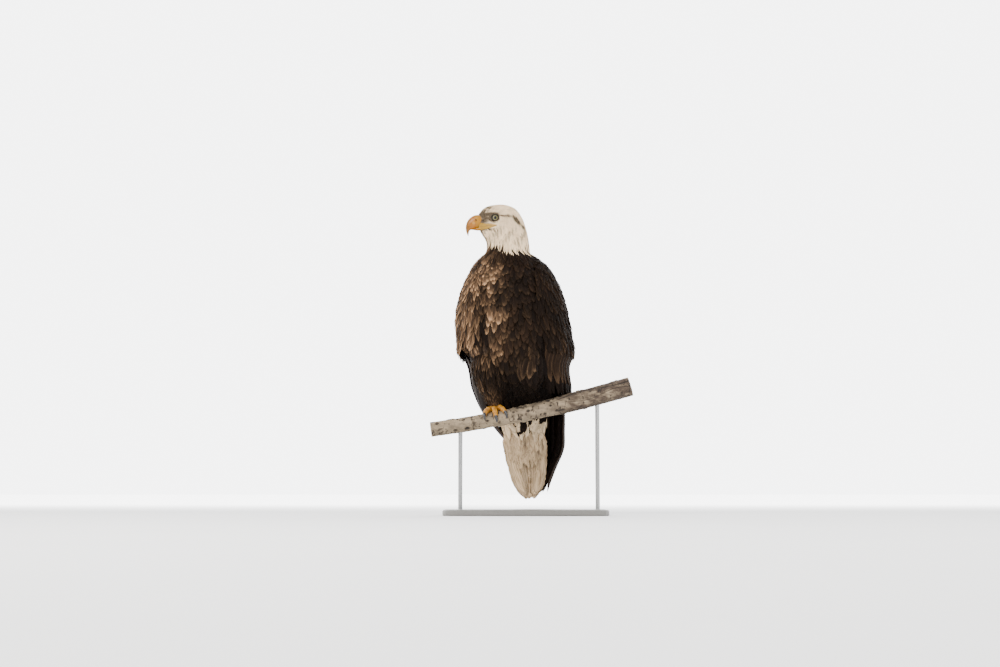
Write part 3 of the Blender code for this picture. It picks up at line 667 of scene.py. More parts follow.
class Value:
    """A number that changes over the surface: a socket that can be calculated with."""

    def __init__(self, finish, socket):
        self.finish, self.socket = finish, socket

    def maths(self, operation, other, swapped):
        made = self.finish.add("ShaderNodeMath", {"operation": operation})
        for slot, value in zip(made.inputs, (other, self) if swapped else (self, other)):
            self.finish.feed(slot, value)
        return Value(self.finish, made.outputs[0])

    __add__ = __radd__ = operator("ADD")
    __mul__ = __rmul__ = operator("MULTIPLY")
    __sub__, __rsub__ = operator("SUBTRACT"), operator("SUBTRACT", swapped=True)
    __truediv__, __pow__ = operator("DIVIDE"), operator("POWER")
    __abs__, sine = operator("ABSOLUTE"), operator("SINE")
    max, min = operator("MAXIMUM"), operator("MINIMUM")

    def step(self, low, high):
        """0 below low, 1 above high, and smooth between. Low may be the larger."""
        values = {"Value": self, "From Min": low, "From Max": high}
        smooth = {"interpolation_type": "SMOOTHSTEP"}
        return self.finish.node("ShaderNodeMapRange", smooth, values)


class Finish:
    """A material: nodes are added by type, with settings first and then values or links."""

    def __init__(self, name, **constant):
        self.material = bpy.data.materials.new(name)
        self.material.use_nodes = True
        self.tree = self.material.node_tree
        self.shader = self.tree.nodes["Principled BSDF"]
        self.wear(**constant)

    def add(self, kind, settings=()):
        made = self.tree.nodes.new(kind)
        for key, value in dict(settings).items():
            setattr(made, key, value)
        return made

    def feed(self, slot, value):
        if isinstance(value, Value):
            self.tree.links.new(value.socket, slot)
        else:
            slot.default_value = (*value, 1) if slot.type == "RGBA" else value

    def find(self, sockets, key):
        return next((s for s in sockets if s.identifier == key), None) or sockets[key]

    def node(self, kind, settings=(), values=(), take=0):
        made = self.add(kind, settings)
        for key, value in dict(values).items():
            self.feed(self.find(made.inputs, key), value)
        found = made.outputs[take] if isinstance(take, int) else self.find(made.outputs, take)
        return Value(self, found)

    def mix(self, share, first, second):
        values = {"Factor_Float": share, "A_Color": first, "B_Color": second}
        return self.node("ShaderNodeMix", {"data_type": "RGBA"}, values, "Result_Color")

    def layers(self, colour, *over):
        """A colour with others laid over it, each with the share of it that shows."""
        for share, added in over:
            colour = self.mix(share, colour, added)
        return colour

    def attribute(self, name, take="Fac"):
        return self.node("ShaderNodeAttribute", {"attribute_name": name}, take=take)

    def place(self):
        return self.node("ShaderNodeTexCoord", take="Object")

    def parts(self, kind, value):
        made = self.add(kind)
        self.feed(made.inputs[0], value)
        return [Value(self, out) for out in made.outputs]

    def axes(self, vector):
        return self.parts("ShaderNodeSeparateXYZ", vector)

    def stretched(self, vector, x, y, z):
        return self.node("ShaderNodeMapping", (), {"Vector": vector, "Scale": (x, y, z)})

    def noise(self, vector, scale, detail=3.0, rough=0.55):
        values = {"Vector": vector, "Scale": scale, "Detail": detail, "Roughness": rough}
        return self.node("ShaderNodeTexNoise", (), values)

    def bump(self, height, distance, strength=1.0):
        values = {"Height": height, "Distance": distance, "Strength": strength}
        return self.node("ShaderNodeBump", (), values)

    def wear(self, **inputs):
        for key, value in inputs.items():
            title = key.replace("_", " ").title().replace("Ior", "IOR")
            self.feed(self.shader.inputs[title], value)
        return self.material


def dress(piece, finish, slot=None, *nodes):
    """Gives a piece its one finish. A piece with a slot is attached to the root body, and the
    nodes of the model that it replaces are hidden.
    """
    piece.data.materials.clear()
    piece.data.materials.append(finish)
    if slot:
        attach(piece, "root")
    if nodes:
        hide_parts(*nodes)
    return piece


# %% [markdown]
# ## Feather finishes
# One calculation serves all the feathers. Each vane knows its place along and across itself and
# carries the four marking numbers. White feathers take greyish and dusky streaks along the shaft,
# brown ones are darkest at the middle and buff at the edge. Fine barbs are a bump that runs
# slantwise from the shaft, too small to be worth modelling.


# %% Plumage
WHITE, SHADE, DUSKY = (0.94, 0.73, 0.48), (0.40, 0.26, 0.14), (0.020, 0.014, 0.010)
DARK, MIDDLE, BUFF = (0.0045, 0.0030, 0.0024), (0.040, 0.021, 0.012), (0.50, 0.295, 0.160)


def plumage(name, vane=True, white=WHITE, dark=DARK, middle=MIDDLE, buff=BUFF, roughness=0.62):
    finish = Finish(name, roughness=roughness, specular_ior_level=0.03)
    tone = finish.attribute("tone", "Color")
    pale_place = Value(finish, tone.socket.node.outputs["Alpha"])
    dusk, edged, own = finish.parts("ShaderNodeSeparateColor", tone)
    if vane:
        x, y, _ = finish.axes(finish.node("ShaderNodeUVMap", {"uv_map": "Vane"}))
        t = abs(x * 2 - 1)
        own_place = {"X": x * 16 + own * 37, "Y": y * 5 - t * 2.2, "Z": own * 19}
        barbs = finish.noise(finish.node("ShaderNodeCombineXYZ", (), own_place), 1.0, 4.0, 0.6)
        rim = t.step(0.35, 0.95).max(y.step(0.70, 0.98)) * y.step(0.10, 0.45)
        ridges = ((y * 150 - t * 26) * 1.0).sine() * 0.5 + 0.5
        relief = finish.bump(ridges * 0.5 + barbs * 1.2 + t.step(0.10, 0.03) * 0.8, 0.0003, 0.6)
        core = t.step(0.80, 0.10) * y.step(0.95, 0.55)
    else:
        barbs = finish.noise(finish.stretched(finish.place(), 1, 1, 0.25), 160.0, 4.0, 0.6)
        rim, core = barbs.step(0.45, 0.65), barbs.step(0.60, 0.35)
        relief = finish.bump(barbs, 0.0004, 0.5)
    streak = barbs.step(0.42, 0.66)
    smudge = dusk * (0.85 + 0.35 * core) * (0.80 + streak * 0.4)
    shading = streak * 0.90 * edged + own * 0.10
    pale = finish.layers(white, (shading, SHADE), (smudge.min(1.0), DUSKY))
    mottle = (own * 0.8 + streak * 0.35) * (1.1 - dusk)
    fringe = rim * edged * (0.45 + streak * 0.85)
    deep = finish.layers(
        dark, (mottle.min(1.0).max(0.0), middle), (edged * 0.20, buff), (fringe.min(1.0), buff),
        (core * 0.55, dark),
    )
    return finish.wear(base_color=finish.mix(pale_place, deep, pale), normal=relief)


brown_and_white = plumage("plumage")
skin_plumage = plumage("plumage_on_skin", vane=False, roughness=0.8)
flight_black = plumage(
    "flight_plumage", dark=(0.009, 0.007, 0.007), middle=(0.022, 0.015, 0.011),
    buff=(0.055, 0.034, 0.022), roughness=0.48,
)
tail_cream = plumage("tail_plumage", white=(0.94, 0.69, 0.43))


def coat(name, *laid, finish=brown_and_white, slot="plumage_brown", **more):
    """Lays the feathers of one piece and dresses it."""
    return dress(lay_feathers(name, *laid, **more), finish, slot)


print("feather finishes:", [m.name for m in (brown_and_white, flight_black, tail_cream)])

# %% [markdown]
# ## The skin
# The skin is one closed surface a few millimetres inside the coat. Each part of the form is made
# as a closed tube, pulled in by the coat's depth, and the tubes are joined and remeshed as one,
# which melts the joins. Modelling one skin by hand would need the same shapes drawn twice. The
# drawn-up left foot lies in a hollow, made by moving the belly's front back onto a sphere.


# %% One skin from the parts of the form
def inner_tube(name, net, depth):
    return closed_tube(name, net["points"] - net["normal"] * depth)


def wing_flesh(side):
    """Rings round the folded wing: out along its outer face and back along its inner face."""
    share = np.append(np.linspace(0.03, 0.97, 30), np.linspace(0.97, 0.03, 30))
    deep = np.repeat([0.35, 1.0], 30)
    along, share = grid(np.linspace(0.03, 0.93, 40), share)
    height = WING_TOP + (coverts_edge(side, share, COVERTS) - WING_TOP) * along
    return closed_tube("flesh_wing_" + side, wing_form(side, COVERTS, deep)(height, share))


def join(parts):
    """Makes one object of several, under the first one's name."""
    for other in bpy.context.view_layer.objects:
        other.select_set(other in parts)
    bpy.context.view_layer.objects.active = parts[0]
    bpy.ops.object.join()
    return parts[0]


FULL, WING_TOP, VOXEL = (0, 2 * math.pi), 0.695, 0.0038
head_net = form_net(head_form, (9.0, 0.0), FULL, 150, 96, closed=True)
trunk_net = form_net(trunk_form, (0.0, 10.0), FULL, 400, 240, closed=True)
tail_stump = form_net(tail_form, (0.0, 3.6), FULL, 40, 48, closed=True)
thigh_net = form_net(thigh_form, (0.0, 5.0), FULL, 120, 80, closed=True)
coat_depth = np.interp(head_net["points"][..., 2], [0.70, 0.76, 0.80], [0.006, 0.0035, 0.0022])
depths = (coat_depth[..., None], 0.007, 0.006, 0.006)
nets = (head_net, trunk_net, tail_stump, thigh_net)
flesh = [inner_tube("flesh", net, depth) for net, depth in zip(nets, depths)]
body_form = join(flesh + [wing_flesh(side) for side in SIDES])
melt = body_form.modifiers.new("melt", "REMESH")
melt.mode, melt.voxel_size = "VOXEL", VOXEL
soften = body_form.modifiers.new("soften", "SMOOTH")
soften.factor, soften.iterations = 0.5, 5
melted = body_form.evaluated_get(bpy.context.evaluated_depsgraph_get())
skin_mesh = bpy.data.meshes.new_from_object(melted)
bpy.data.objects.remove(body_form)
skin = in_scene("skin", skin_mesh)
skin_mesh.shade_smooth()
places = np.empty(len(skin_mesh.vertices) * 3, np.float32)
skin_mesh.vertices.foreach_get("co", places)
places = places.reshape(-1, 3).astype(float)
fist = in_body(np.array([FIST_AT[0], -FIST_AT[1], FIST_AT[2]]))
beside = np.clip(FIST_ROOM**2 - (places[:, 0] - fist[0]) ** 2 - (places[:, 2] - fist[2]) ** 2, 0, 1)
cup = fist[1] + np.sqrt(beside)
hollow = (beside > 0) & (places[:, 1] < cup)
places[hollow, 1] = cup[hollow]
skin_mesh.vertices.foreach_set("co", places.astype(np.float32).ravel())
mark(skin_mesh, "tone", markings(places, np.random.default_rng(1), is_white(places)))
dress(skin, skin_plumage, "plumage_brown")
print("skin:", len(skin_mesh.polygons), "faces")

# %% [markdown]
# ## White feathers of the head and neck
# Feathers start at the bill, where they are a few millimetres long, and run back over the face
# and crown. Down the neck they grow into pointed hackles whose tips hang over the brown. The net
# runs on from the neck over the shoulders, so that the tips lie on the body and not inside it.


# %% The cloak: trunk and folded wings as one outer surface
def cloak_form(at, angle):
    """The trunk, pushed out to the wing's ellipse wherever the wing lies over it."""
    x, y, z = np.moveaxis(section(TRUNK_ROWS, at, angle), -1, 0)
    centre, depth, thick = (wing_values(z, k) for k in (1, 2, 3))
    left, ahead = x > 0, -y - centre
    width = np.where(left, wing_values(z, 5), wing_values(z, 6))
    theta = np.degrees(np.arctan2(np.abs(x) / width, ahead / depth))
    front, back = (
        np.where(left, *(wing_angle(side, z, edge, COVERTS) for side in SIDES)) for edge in (0, 1)
    )
    share = (theta - front) / (back - front)
    inset = thick * 0.75 * np.abs(2 * np.clip(share, 0, 1) - 1) ** 4
    over = smoothstep(-0.06, 0.05, share) * smoothstep(1.10, 0.97, share)
    over = over * smoothstep(0.71, 0.67, z)
    rho = np.hypot(x / (width - inset), ahead / (depth - inset))
    push = 1 + over * (np.maximum(1 / rho, 1) - 1)
    return in_body(xyz(x * push, -(centre + ahead * push), z))


def azimuth(rows, turn):
    return grid(rows, circle(192) + turn)


head_rows, shoulder_rows = np.linspace(9.0, 0.0, 220), np.linspace(0.12, 2.6, 90)
head_part = head_form(*azimuth(head_rows, HEAD_TURN))
shoulder_part = cloak_form(*azimuth(shoulder_rows, BODY_TURN))
white_net = weave(np.concatenate([head_part, shoulder_part]), closed=True)
LONGEST_ON_FACE, WHITE_END = 0.024, 0.694


def white_growth(points):
    """0 at the bill to 1 behind the crown, and 0 on the face to 1 at the foot of the neck."""
    _, forwards, height = head_coordinates(points)
    return np.clip((0.078 - forwards) / 0.10, 0, 1), smoothstep(0.785, 0.712, height)


def white_length(points):
    back, neck = white_growth(points)
    return 0.0046 + 0.0105 * back + 0.026 * neck


def clears_face(net, i, j, length):
    """True where a feather leaves the eye and the mouth's corner free, from root to tip."""
    free = np.ones(len(i), bool)
    for share in (0, 0.35, 0.7, 1.0):
        along = i + length * share / step_at(net, j)
        x, forwards, height = head_coordinates(read_net(net, "points", along, j))
        mouth = np.hypot(np.maximum(0, np.abs(forwards - 0.0590) - 0.0195), height - 0.7755)
        mouth = mouth - 0.0025 * smoothstep(0.058, 0.074, forwards)
        clear = (from_eye(forwards, height) > 0.0096) & (mouth > 0.0068)
        free &= clear | (np.abs(x) < 0.007)
    return free


def forehead_lift(points):
    """The feathers of the forehead stand up in a low ridge towards the bill."""
    x, forwards, height = head_coordinates(points)
    ridge = soft(x, 0, 0.014) * soft(forwards, 0.066, 0.017)
    return 0.0030 * ridge * smoothstep(0.795, 0.812, height)


def white_feathers(name, on_neck, columns, pitch_share, seed, **more):
    net = white_net
    i, j, rng = root_places(net, columns, (0, 192), white_length, pitch_share, seed)
    points = read_net(net, "points", i, j)
    length = white_length(points) * (0.85 + 0.3 * rng.random(len(i)))
    length = np.where(clears_face(net, i, j, length), length, 0.45 * length)
    chosen = ((length > LONGEST_ON_FACE) == on_neck) & (points[:, 2] > WHITE_END)
    chosen &= clears_face(net, i, j, length)
    i, j, points, length = (v[chosen] for v in (i, j, points, length))
    back, neck = white_growth(points)
    shown = shown_places(net, i, j, length)
    white = shown[:, 2] > white_border(shown) + 0.006 * (rng.random(len(i)) - 0.5)
    coat(
        name, net, i, j, rng, length, 0.0011 + 0.0017 * back + 0.0026 * neck,
        markings(shown, rng, white), slot="plumage_white", tilt=0.050, curl=0.01 + 0.03 * neck,
        base=-0.0014 - 0.0022 * neck + forehead_lift(points), thick=0.00018 + 0.00016 * neck,
        point=2.0, round=0.9, loose=0.0004 + 0.0018 * neck, **more,
    )


white_feathers("face_feathers", False, 180, 0.30, 31, pattern=(5, 3))
white_feathers("neck_hackles", True, 110, 0.20, 32, pattern=(9, 5), scatter=0.30)

# %% [markdown]
# ## Brown body feathers
# The breast has broad feathers that lap like scales, each dark with a buff rim. They lie on the
# trunk between the wings. The trousers have a net of their own on the right thigh.


# %% Breast, belly and flanks
BREAST_TOP, BREAST_END, BELOW_WINGS = 0.703, 0.272, 0.345
TRUNK_COLUMNS = 240


def breast_length(points):
    stops = [0.30, 0.40, 0.55, 0.68, 0.71]
    return np.interp(points[..., 2], stops, [0.064, 0.064, 0.056, 0.042, 0.034])


i, j, rng = root_places(trunk_net, 50, (25, 215), breast_length, 0.27, 41)
points = read_net(trunk_net, "points", i, j)
round_trunk = j / TRUNK_COLUMNS * 2 * math.pi
left_edge, right_edge = (wing_angle(side, points[:, 2], 0, COVERTS) for side in SIDES)
beyond = np.degrees(np.abs(round_trunk - math.pi)) - np.where(
    j < TRUNK_COLUMNS / 2, left_edge, right_edge
)
height = points[:, 2]
chosen = ((beyond < 3) | (height < BELOW_WINGS)) & (height < BREAST_TOP) & (height > BREAST_END)
i, j, points, beyond, round_trunk = (v[chosen] for v in (i, j, points, beyond, round_trunk))
length = breast_length(points) * (0.75 + 0.5 * rng.random(len(i)))
shown = shown_places(trunk_net, i, j, length)
look = markings(shown, rng, is_white(shown))
# No buff on the breast feathers next to the wings' front edges: painted shade in the gap there.
look[:, 1] *= np.where(look[:, 3] > 0, 1.0, smoothstep(4, -8, beyond))
over_fist = soft(points[:, 0], fist[0], 0.035) * soft(points[:, 2], fist[2] + 0.02, 0.04)
coat(
    "breast_feathers", trunk_net, i, j, rng, length, 0.0105 + 0.004 * rng.random(len(i)), look,
    base=-0.0055 + 0.014 * over_fist - 0.003 * smoothstep(-8, 0, beyond), tilt=0.085, curl=0.05,
    loose=0.0016, point=3.2, round=0.62, rag=0.30, arch=0.30, pattern=(10, 5), scatter=0.40,
    skew=0.20 * np.sin(round_trunk),
)


# %% Trousers
def even(pitch):
    """One pitch for a whole net."""
    return lambda points: pitch + 0 * points[..., 0]


i, j, rng = root_places(thigh_net, 24, (0, 80), even(0.011), 1, 51)
i, j = i[i < 114], j[i < 114]
length = np.interp(i, [0, 60, 114], [0.052, 0.046, 0.034]) * (0.85 + 0.3 * rng.random(len(i)))
look = markings(shown_places(thigh_net, i, j, length), rng, False)
coat(
    "trouser_feathers", thigh_net, i, j, rng, length, 0.0078, look, base=-0.0045, tilt=0.10,
    curl=0.03, loose=0.0016, point=2.2, round=0.8, rag=0.35, pattern=(9, 5), scatter=0.25,
)

# %% [markdown]
# ## Folded wings
# A folded wing shows rows of covert feathers that grow larger downwards, then the long flight
# feathers under them. The coverts fill a net over the wing's outer face. The flight feathers are
# few and large, so each is placed by itself on the layer below.


# %% Coverts
def upper_end(side, share, layer):
    """Where the scale-like coverts stop and the long ones under them begin to show."""
    return np.maximum(coverts_edge(side, share, layer), 0.440 - 0.03 * share)


LAST_ROW, LAST_COLUMN = 259, 159


def coverts_net(side, lower_edge):
    def below(along, share):
        height = WING_TOP + (lower_edge(side, share, COVERTS) - WING_TOP) * along
        return wing_form(side, COVERTS)(height, share)

    return form_net(below, (0.0, 1.0), (0.0, 1.0), LAST_ROW + 1, LAST_COLUMN + 1)


def covert_size(points):
    """Lesser, median and greater coverts: length and half width down the wing."""
    stops, sizes = [0.44, 0.52, 0.60, 0.70], table("740 620 480 340, 135 120 100 80", TENTH_MM)
    return [np.interp(points[..., 2], stops, size) for size in sizes]


def covert_feathers(side, seed):
    net = coverts_net(side, upper_end)
    reach = (0, LAST_COLUMN)
    i, j, rng = root_places(net, 32, reach, lambda points: covert_size(points)[0], 0.27, seed)
    length, width = covert_size(read_net(net, "points", i, j))
    length = length * (0.75 + 0.5 * rng.random(len(i)))
    left_below = (LAST_ROW - i) * step_at(net, np.maximum(j, 0))
    room = left_below + 0.004 + 0.010 * rng.random(len(i))
    chosen = room > length * 0.6
    i, j, length, width = (v[chosen] for v in (i, j, np.minimum(length, room), width))
    width = width * (0.8 + 0.3 * rng.random(len(i)))
    look = markings(shown_places(net, i, j, length), rng, False)
    coat(
        "coverts_" + side, net, i, j, rng, length, width, look, base=-0.0050, tilt=0.080,
        curl=0.035, loose=0.0016, point=2.2, round=0.78, rag=0.32, arch=0.28, pattern=(11, 5),
        scatter=0.32,
    )


def long_coverts(side, seed):
    """Two layers of long feathers from under the scale-like ones down to the wing's lower edge."""
    net, rng = coverts_net(side, coverts_edge), np.random.default_rng(seed)
    share = np.append(np.linspace(0.015, 0.985, 34), np.linspace(0.03, 0.97, 32))
    over, j = np.repeat([0.0, 1.0], [34, 32]), share * LAST_COLUMN
    heights = net["points"][:, np.round(j).astype(int), 2]
    start = upper_end(side, share, COVERTS) + 0.035
    i = np.argmin(np.abs(heights - start), axis=0).astype(float)
    length = (LAST_ROW - i) * step_at(net, j)
    if side == "left":
        length = length + 0.040 * smoothstep(0.95, 0.60, share)
    length = length * (1 - 0.22 * over - 0.05 * rng.random(len(j)))
    i, j, length, over = (v[length > 0.030] for v in (i, j, length, over))
    look = markings(read_net(net, "points", i, j), rng, False)
    look[:, 0] = np.where(over > 0, 0.35 + 0.50 * rng.random(len(i)), 1.0)
    look[:, 1] = over * (0.02 + 0.09 * rng.random(len(i)))
    coat(
        "long_coverts_" + side, net, i, j, rng, length, 0.0125 - 0.0025 * over, look,
        base=-0.0040 + 0.0016 * over + 0.0008 * (np.arange(len(i)) % 2), tilt=0.004, curl=0.002,
        loose=0.0008, point=3.2, round=0.62, rag=0.32, rise=5.0, arch=0.16, thick=0.0005,
        pattern=(30, 7), scatter=0.06,
    )


for side, seed in zip(SIDES, (61, 62)):
    covert_feathers(side, seed)
    long_coverts(side, seed + 4)

# %% Flight feathers
FLIGHT_SPAN, FLIGHT_COLUMNS = (0.44, 0.046), 120
for side in SIDES:
    net = form_net(wing_form(side, FLIGHT), FLIGHT_SPAN, (0.0, 1.0), 260, FLIGHT_COLUMNS)
    rng = np.random.default_rng(71)
    primary, secondary = np.linspace(0.04, 0.93, 11), np.linspace(0.34, 0.97, 11)
    share, order = np.append(primary, secondary), np.tile(np.arange(11), 2)
    lowest = 0.060 + 0.055 * np.abs(primary - 0.35) ** 1.4
    tip = np.append(lowest, 0.235 - 0.05 * (secondary - 0.34))
    top = np.minimum(0.43, coverts_edge(side, share, FLIGHT) + 0.05)
    j = share * (FLIGHT_COLUMNS - 1)
    heights = net["points"][:, j.astype(int), 2]
    i, end = (np.argmin(np.abs(heights - at), axis=0).astype(float) for at in (top, tip))
    look = markings(read_net(net, "points", i, j), rng, False)
    look[:, 1] = 0.55
    coat(
        "flight_feathers_" + side, net, i, j, rng, (end - i) * step_at(net, j),
        np.repeat([0.0150, 0.0165], 11), look, finish=flight_black, slot="flight_feathers",
        base=-0.0075 + np.repeat([0.0, 0.0052], 11) + 0.0004 * order, tilt=0.004, curl=0.002,
        loose=0.0002, point=7.0, round=0.60, rag=0.10, rise=6.0, arch=0.10, thick=0.0006,
        pattern=(34, 7), scatter=0.02,
    )

# %% [markdown]
# ## Back
# The mantle lies between the wings and its largest feathers cover the place where they meet. It
# could be part of each wing's coverts, but one net over the whole cloak has no seam there.

# %% Mantle
mantle_net = form_net(cloak_form, (0.2, 6.0), FULL, 300, 240, closed=True)


def mantle_length(points):
    return np.interp(points[..., 2], [0.45, 0.55, 0.66, 0.70], [0.085, 0.070, 0.044, 0.030])


i, j, rng = root_places(mantle_net, 52, (-74, 74), mantle_length, 0.27, 81)
points = read_net(mantle_net, "points", i, j)
chosen = (points[:, 2] > 0.50 + 0.0012 * np.abs(j)) & (points[:, 2] < 0.698)
i, j, points = i[chosen], j[chosen], points[chosen]
length = mantle_length(points) * (0.85 + 0.3 * rng.random(len(i)))
width = np.interp(points[:, 2], [0.5, 0.7], [0.0145, 0.0085])
coat(
    "mantle_feathers", mantle_net, i, j, rng, length, width, markings(points, rng, False),
    base=-0.0035, tilt=0.07, curl=0.03, loose=0.0014, point=2.8, round=0.68, rag=0.28, arch=0.28,
    pattern=(11, 5), scatter=0.2,
)

# %% [markdown]
# ## Tail
# Twelve long feathers are stacked like a closed fan, the middle pair on top. Shorter coverts hide
# their quills above and below. A solid tail with grooves would be simpler, but its edge and tip
# would not show separate feathers.


# %% Tail feathers and tail coverts
def tail_sheet(at, across):
    """The flat middle surface of the tail, between its back and its front."""
    back_f, back_z, front_f, front_z, half, mid = np.moveaxis(read_rows(TAIL, at), -1, 0)
    forwards = (back_f + front_f) / 2 + 0.004 * across**2
    return in_body(xyz(mid + half * across, -forwards, (back_z + front_z) / 2))


inside = in_body(np.array([[[0.0, 0.0, 0.15]]]))
SHEET_ROWS, SHEET_MIDDLE, FAN_WIDTH = 240, 60, 0.76
sheet = (tail_sheet, (0.0, 7.0), (-1.0, 1.0), SHEET_ROWS, 2 * SHEET_MIDDLE + 1)
sheet_net = form_net(*sheet, out_from=inside)
rng, place = np.random.default_rng(91), np.linspace(-1, 1, 12)
j = SHEET_MIDDLE + place * SHEET_MIDDLE * FAN_WIDTH
length = step_at(sheet_net, j) * (SHEET_ROWS - 1) * (1.0 - 0.10 * place**2)
look = markings(read_net(sheet_net, "points", 0 * j + SHEET_ROWS / 2, j), rng, True)
look[:, 0], look[:, 1] = 0.08 + 0.50 * rng.random(12), 1.0
coat(
    "tail_feathers", sheet_net, 0 * j, j, rng, length, 0.0185, look, finish=tail_cream,
    slot="tail_feathers", base=0.0026 - 0.0052 * np.abs(place) + 0.0004 * np.sign(place),
    tilt=0.0, curl=0.0, loose=0.0001, point=9.0, round=0.55, rag=0.12, rise=4.0, arch=0.06,
    thick=0.0006, pattern=(40, 9), scatter=0.015,
)
tail_net = form_net(tail_form, (0.0, 4.2), FULL, 160, 120, closed=True)
i, j, rng = root_places(tail_net, 44, (0, 120), even(0.013), 1, 95)
i, j = i[i < 50], j[i < 50]
length = 0.074 * (0.80 + 0.4 * rng.random(len(i)))
points = shown_places(tail_net, i, j, length)
look = markings(points, rng, True)
look[:, 0] += 0.05 + 0.18 * smoothstep(0.205, 0.160, points[:, 2])
look[:, 1] = 1.0
look = np.where(is_white(points)[:, None], look, markings(points, rng, False))
coat(
    "tail_coverts", tail_net, i, j, rng, length, 0.0100, look, finish=tail_cream,
    slot="tail_feathers", base=-0.0045, tilt=0.035, curl=0.005, point=3.0, round=0.7,
    pattern=(12, 5), scatter=0.10,
)

# %% [markdown]
# ## Bill
# The bill is a horn sheath: a deep upper half that ends in a hook, and a lower half that closes
# inside it. It could be sculpted, but the solid's own sections, read finely, keep its profile, and
# a raised cere and a nostril are added to them.

# %% Bill horn
UPPER_BILL = table(
    """740 8090 640 7810 140 0, 840 8095 720 7775 143 0, 945 8060 830 7715 130 0,
    1045 7980 930 7680 108 0, 1115 7860 1000 7680 80 0, 1135 7730 1035 7640 52 0,
    1115 7610 1050 7580 28 0, 1070 7510 1058 7512 8 0""",
    TENTH_MM,
)
LOWER_BILL = table(
    """500 7830 530 7700 120 0, 620 7800 650 7675 118 0, 720 7775 740 7665 102 0,
    820 7745 835 7665 72 0, 915 7715 925 7680 26 0""",
    TENTH_MM,
)
NOSTRIL = (0.0853, 0.7930)


def bill_tube(name, stations, rows, around, relief=None):
    at = np.linspace(0, len(stations) - 1, rows)
    points = section(stations, *grid(at, circle(around)))
    return closed_tube(name, in_head(relief(points) if relief else points))


def upper_relief(points):
    """Scales the width: a cere 0.3 mm proud, and a nostril 2.5 mm deep, as Gaussian dents."""
    x, y, height = np.moveaxis(points, -1, 0)
    cere = 0.00035 * smoothstep(0.0885, 0.0865, -y - 0.15 * (height - 0.79))
    along, up = -y - NOSTRIL[0], height - NOSTRIL[1]
    nostril = soft(0.8 * up + 0.6 * along, 0, 0.0036) * soft(0.8 * along - 0.6 * up, 0, 0.0016)
    return xyz(x + np.clip(x / 0.004, -1, 1) * (cere - 0.0030 * nostril), y, height)


def cheek(forwards, height):
    """How far out the face is at places in profile: an average of the net's knots near each."""
    x, f, z = (v.ravel() for v in head_coordinates(head_net["points"]))
    x, f, z = (v[(x > 0.002) & (f > 0.0)] for v in (x, f, z))
    away = (forwards[..., None] - f) ** 2 + (height[..., None] - z) ** 2
    weight = np.exp(-away / (2 * 0.0025**2)) + 1e-12
    return (weight * x).sum(-1) / weight.sum(-1)


def make_gape(side):
    """The fleshy corner of the mouth: two lips that taper back to a point under the eye."""
    share, turn = grid(np.linspace(0, 1, 70), circle(32))
    forwards = 0.0785 - 0.0460 * share
    opens = 0.15 + 0.85 * smoothstep(-0.02, 0.14, share)
    tall = 0.35 + 0.65 * smoothstep(-0.02, 0.14, share)
    tall = 0.0096 * (1 - share**1.4) ** 0.8 * tall + 0.0004
    height = 0.7762 - 0.0010 * np.sin(share * math.pi) + tall * np.cos(turn)
    lips = 0.30 + 0.70 * np.abs(np.cos(turn)) ** 0.5
    swell = 0.0026 * np.sin(turn) * lips * (1 - 0.5 * share) * opens
    x = cheek(forwards, height) - 0.0022 + swell
    return closed_tube("gape_" + side, in_head(xyz(SIDES[side] * x, -forwards, height)))


horn = Finish("bill_horn", roughness=0.34, specular_ior_level=0.30)
at = horn.place()
x, y, z = horn.axes(at)
forwards = (HEAD_AT[0] - x) * (1 / 0.9945)
edge = forwards - (z - 0.79) * 0.15
seam = abs(edge - 0.0872).step(0.0008, 0.0002)
hook = forwards.step(0.094, 0.112).max((0.772 - z) * 90)
growth = horn.noise(horn.stretched(at, 1, 1, 3), 70.0, 4.0)
# A paler spot on the side of the bill: a painted highlight.
cream = (((forwards - 0.0915) / 0.0055) ** 2 + ((z - 0.7850) / 0.0050) ** 2).step(1.0, 0.2)
along, up = forwards - NOSTRIL[0], z - NOSTRIL[1]
# The nostril's dark slit is painted shade in its opening; the thin line at the cere's edge is its
# own colour.
slit = ((along * 0.8 - up * 0.6) / 0.0016) ** 2 + ((along * 0.6 + up * 0.8) / 0.0034) ** 2
colour = horn.layers(
    (0.27, 0.088, 0.0003),
    (hook.min(1.0).max(0.0), (0.14, 0.056, 0.003)),
    (cream * 0.55, (0.44, 0.26, 0.07)),
    (edge.step(0.0880, 0.0855), (0.30, 0.128, 0.0)),
    (growth.step(0.42, 0.66) * 0.45, (0.30, 0.12, 0.02)),
    ((slit**0.5).step(1.15, 0.75).max(seam * 0.25), (0.05, 0.020, 0.005)),
)
horn.wear(base_color=colour, normal=horn.bump(growth, 0.0004, 0.6))
gape_skin = Finish("gape_skin", roughness=0.42)
at = gape_skin.place()
wrinkle = gape_skin.noise(gape_skin.stretched(at, 1, 1, 2.5), 260.0, 3.0)
mouth = abs(gape_skin.axes(at)[2] - 0.7755).step(0.0010, 0.0003)
lines = (wrinkle.step(0.35, 0.7), (0.22, 0.105, 0.0)), (mouth * 0.75, (0.14, 0.07, 0.01))
colour = gape_skin.layers((0.31, 0.172, 0.0), *lines)
gape_skin.wear(base_color=colour, normal=gape_skin.bump(wrinkle, 0.0004, 0.7))
upper_bill = bill_tube("bill_upper_horn", UPPER_BILL, 120, 96, upper_relief)
lower_bill = bill_tube("bill_lower_horn", LOWER_BILL, 60, 48)
dress(upper_bill, horn.material, "bill_horn", "bill_upper")
dress(lower_bill, horn.material, "bill_horn", "bill_lower")
for side in SIDES:
    dress(make_gape(side), gape_skin.material, "bill_horn")
print("bill:", len(upper_bill.data.polygons) + len(lower_bill.data.polygons), "faces")

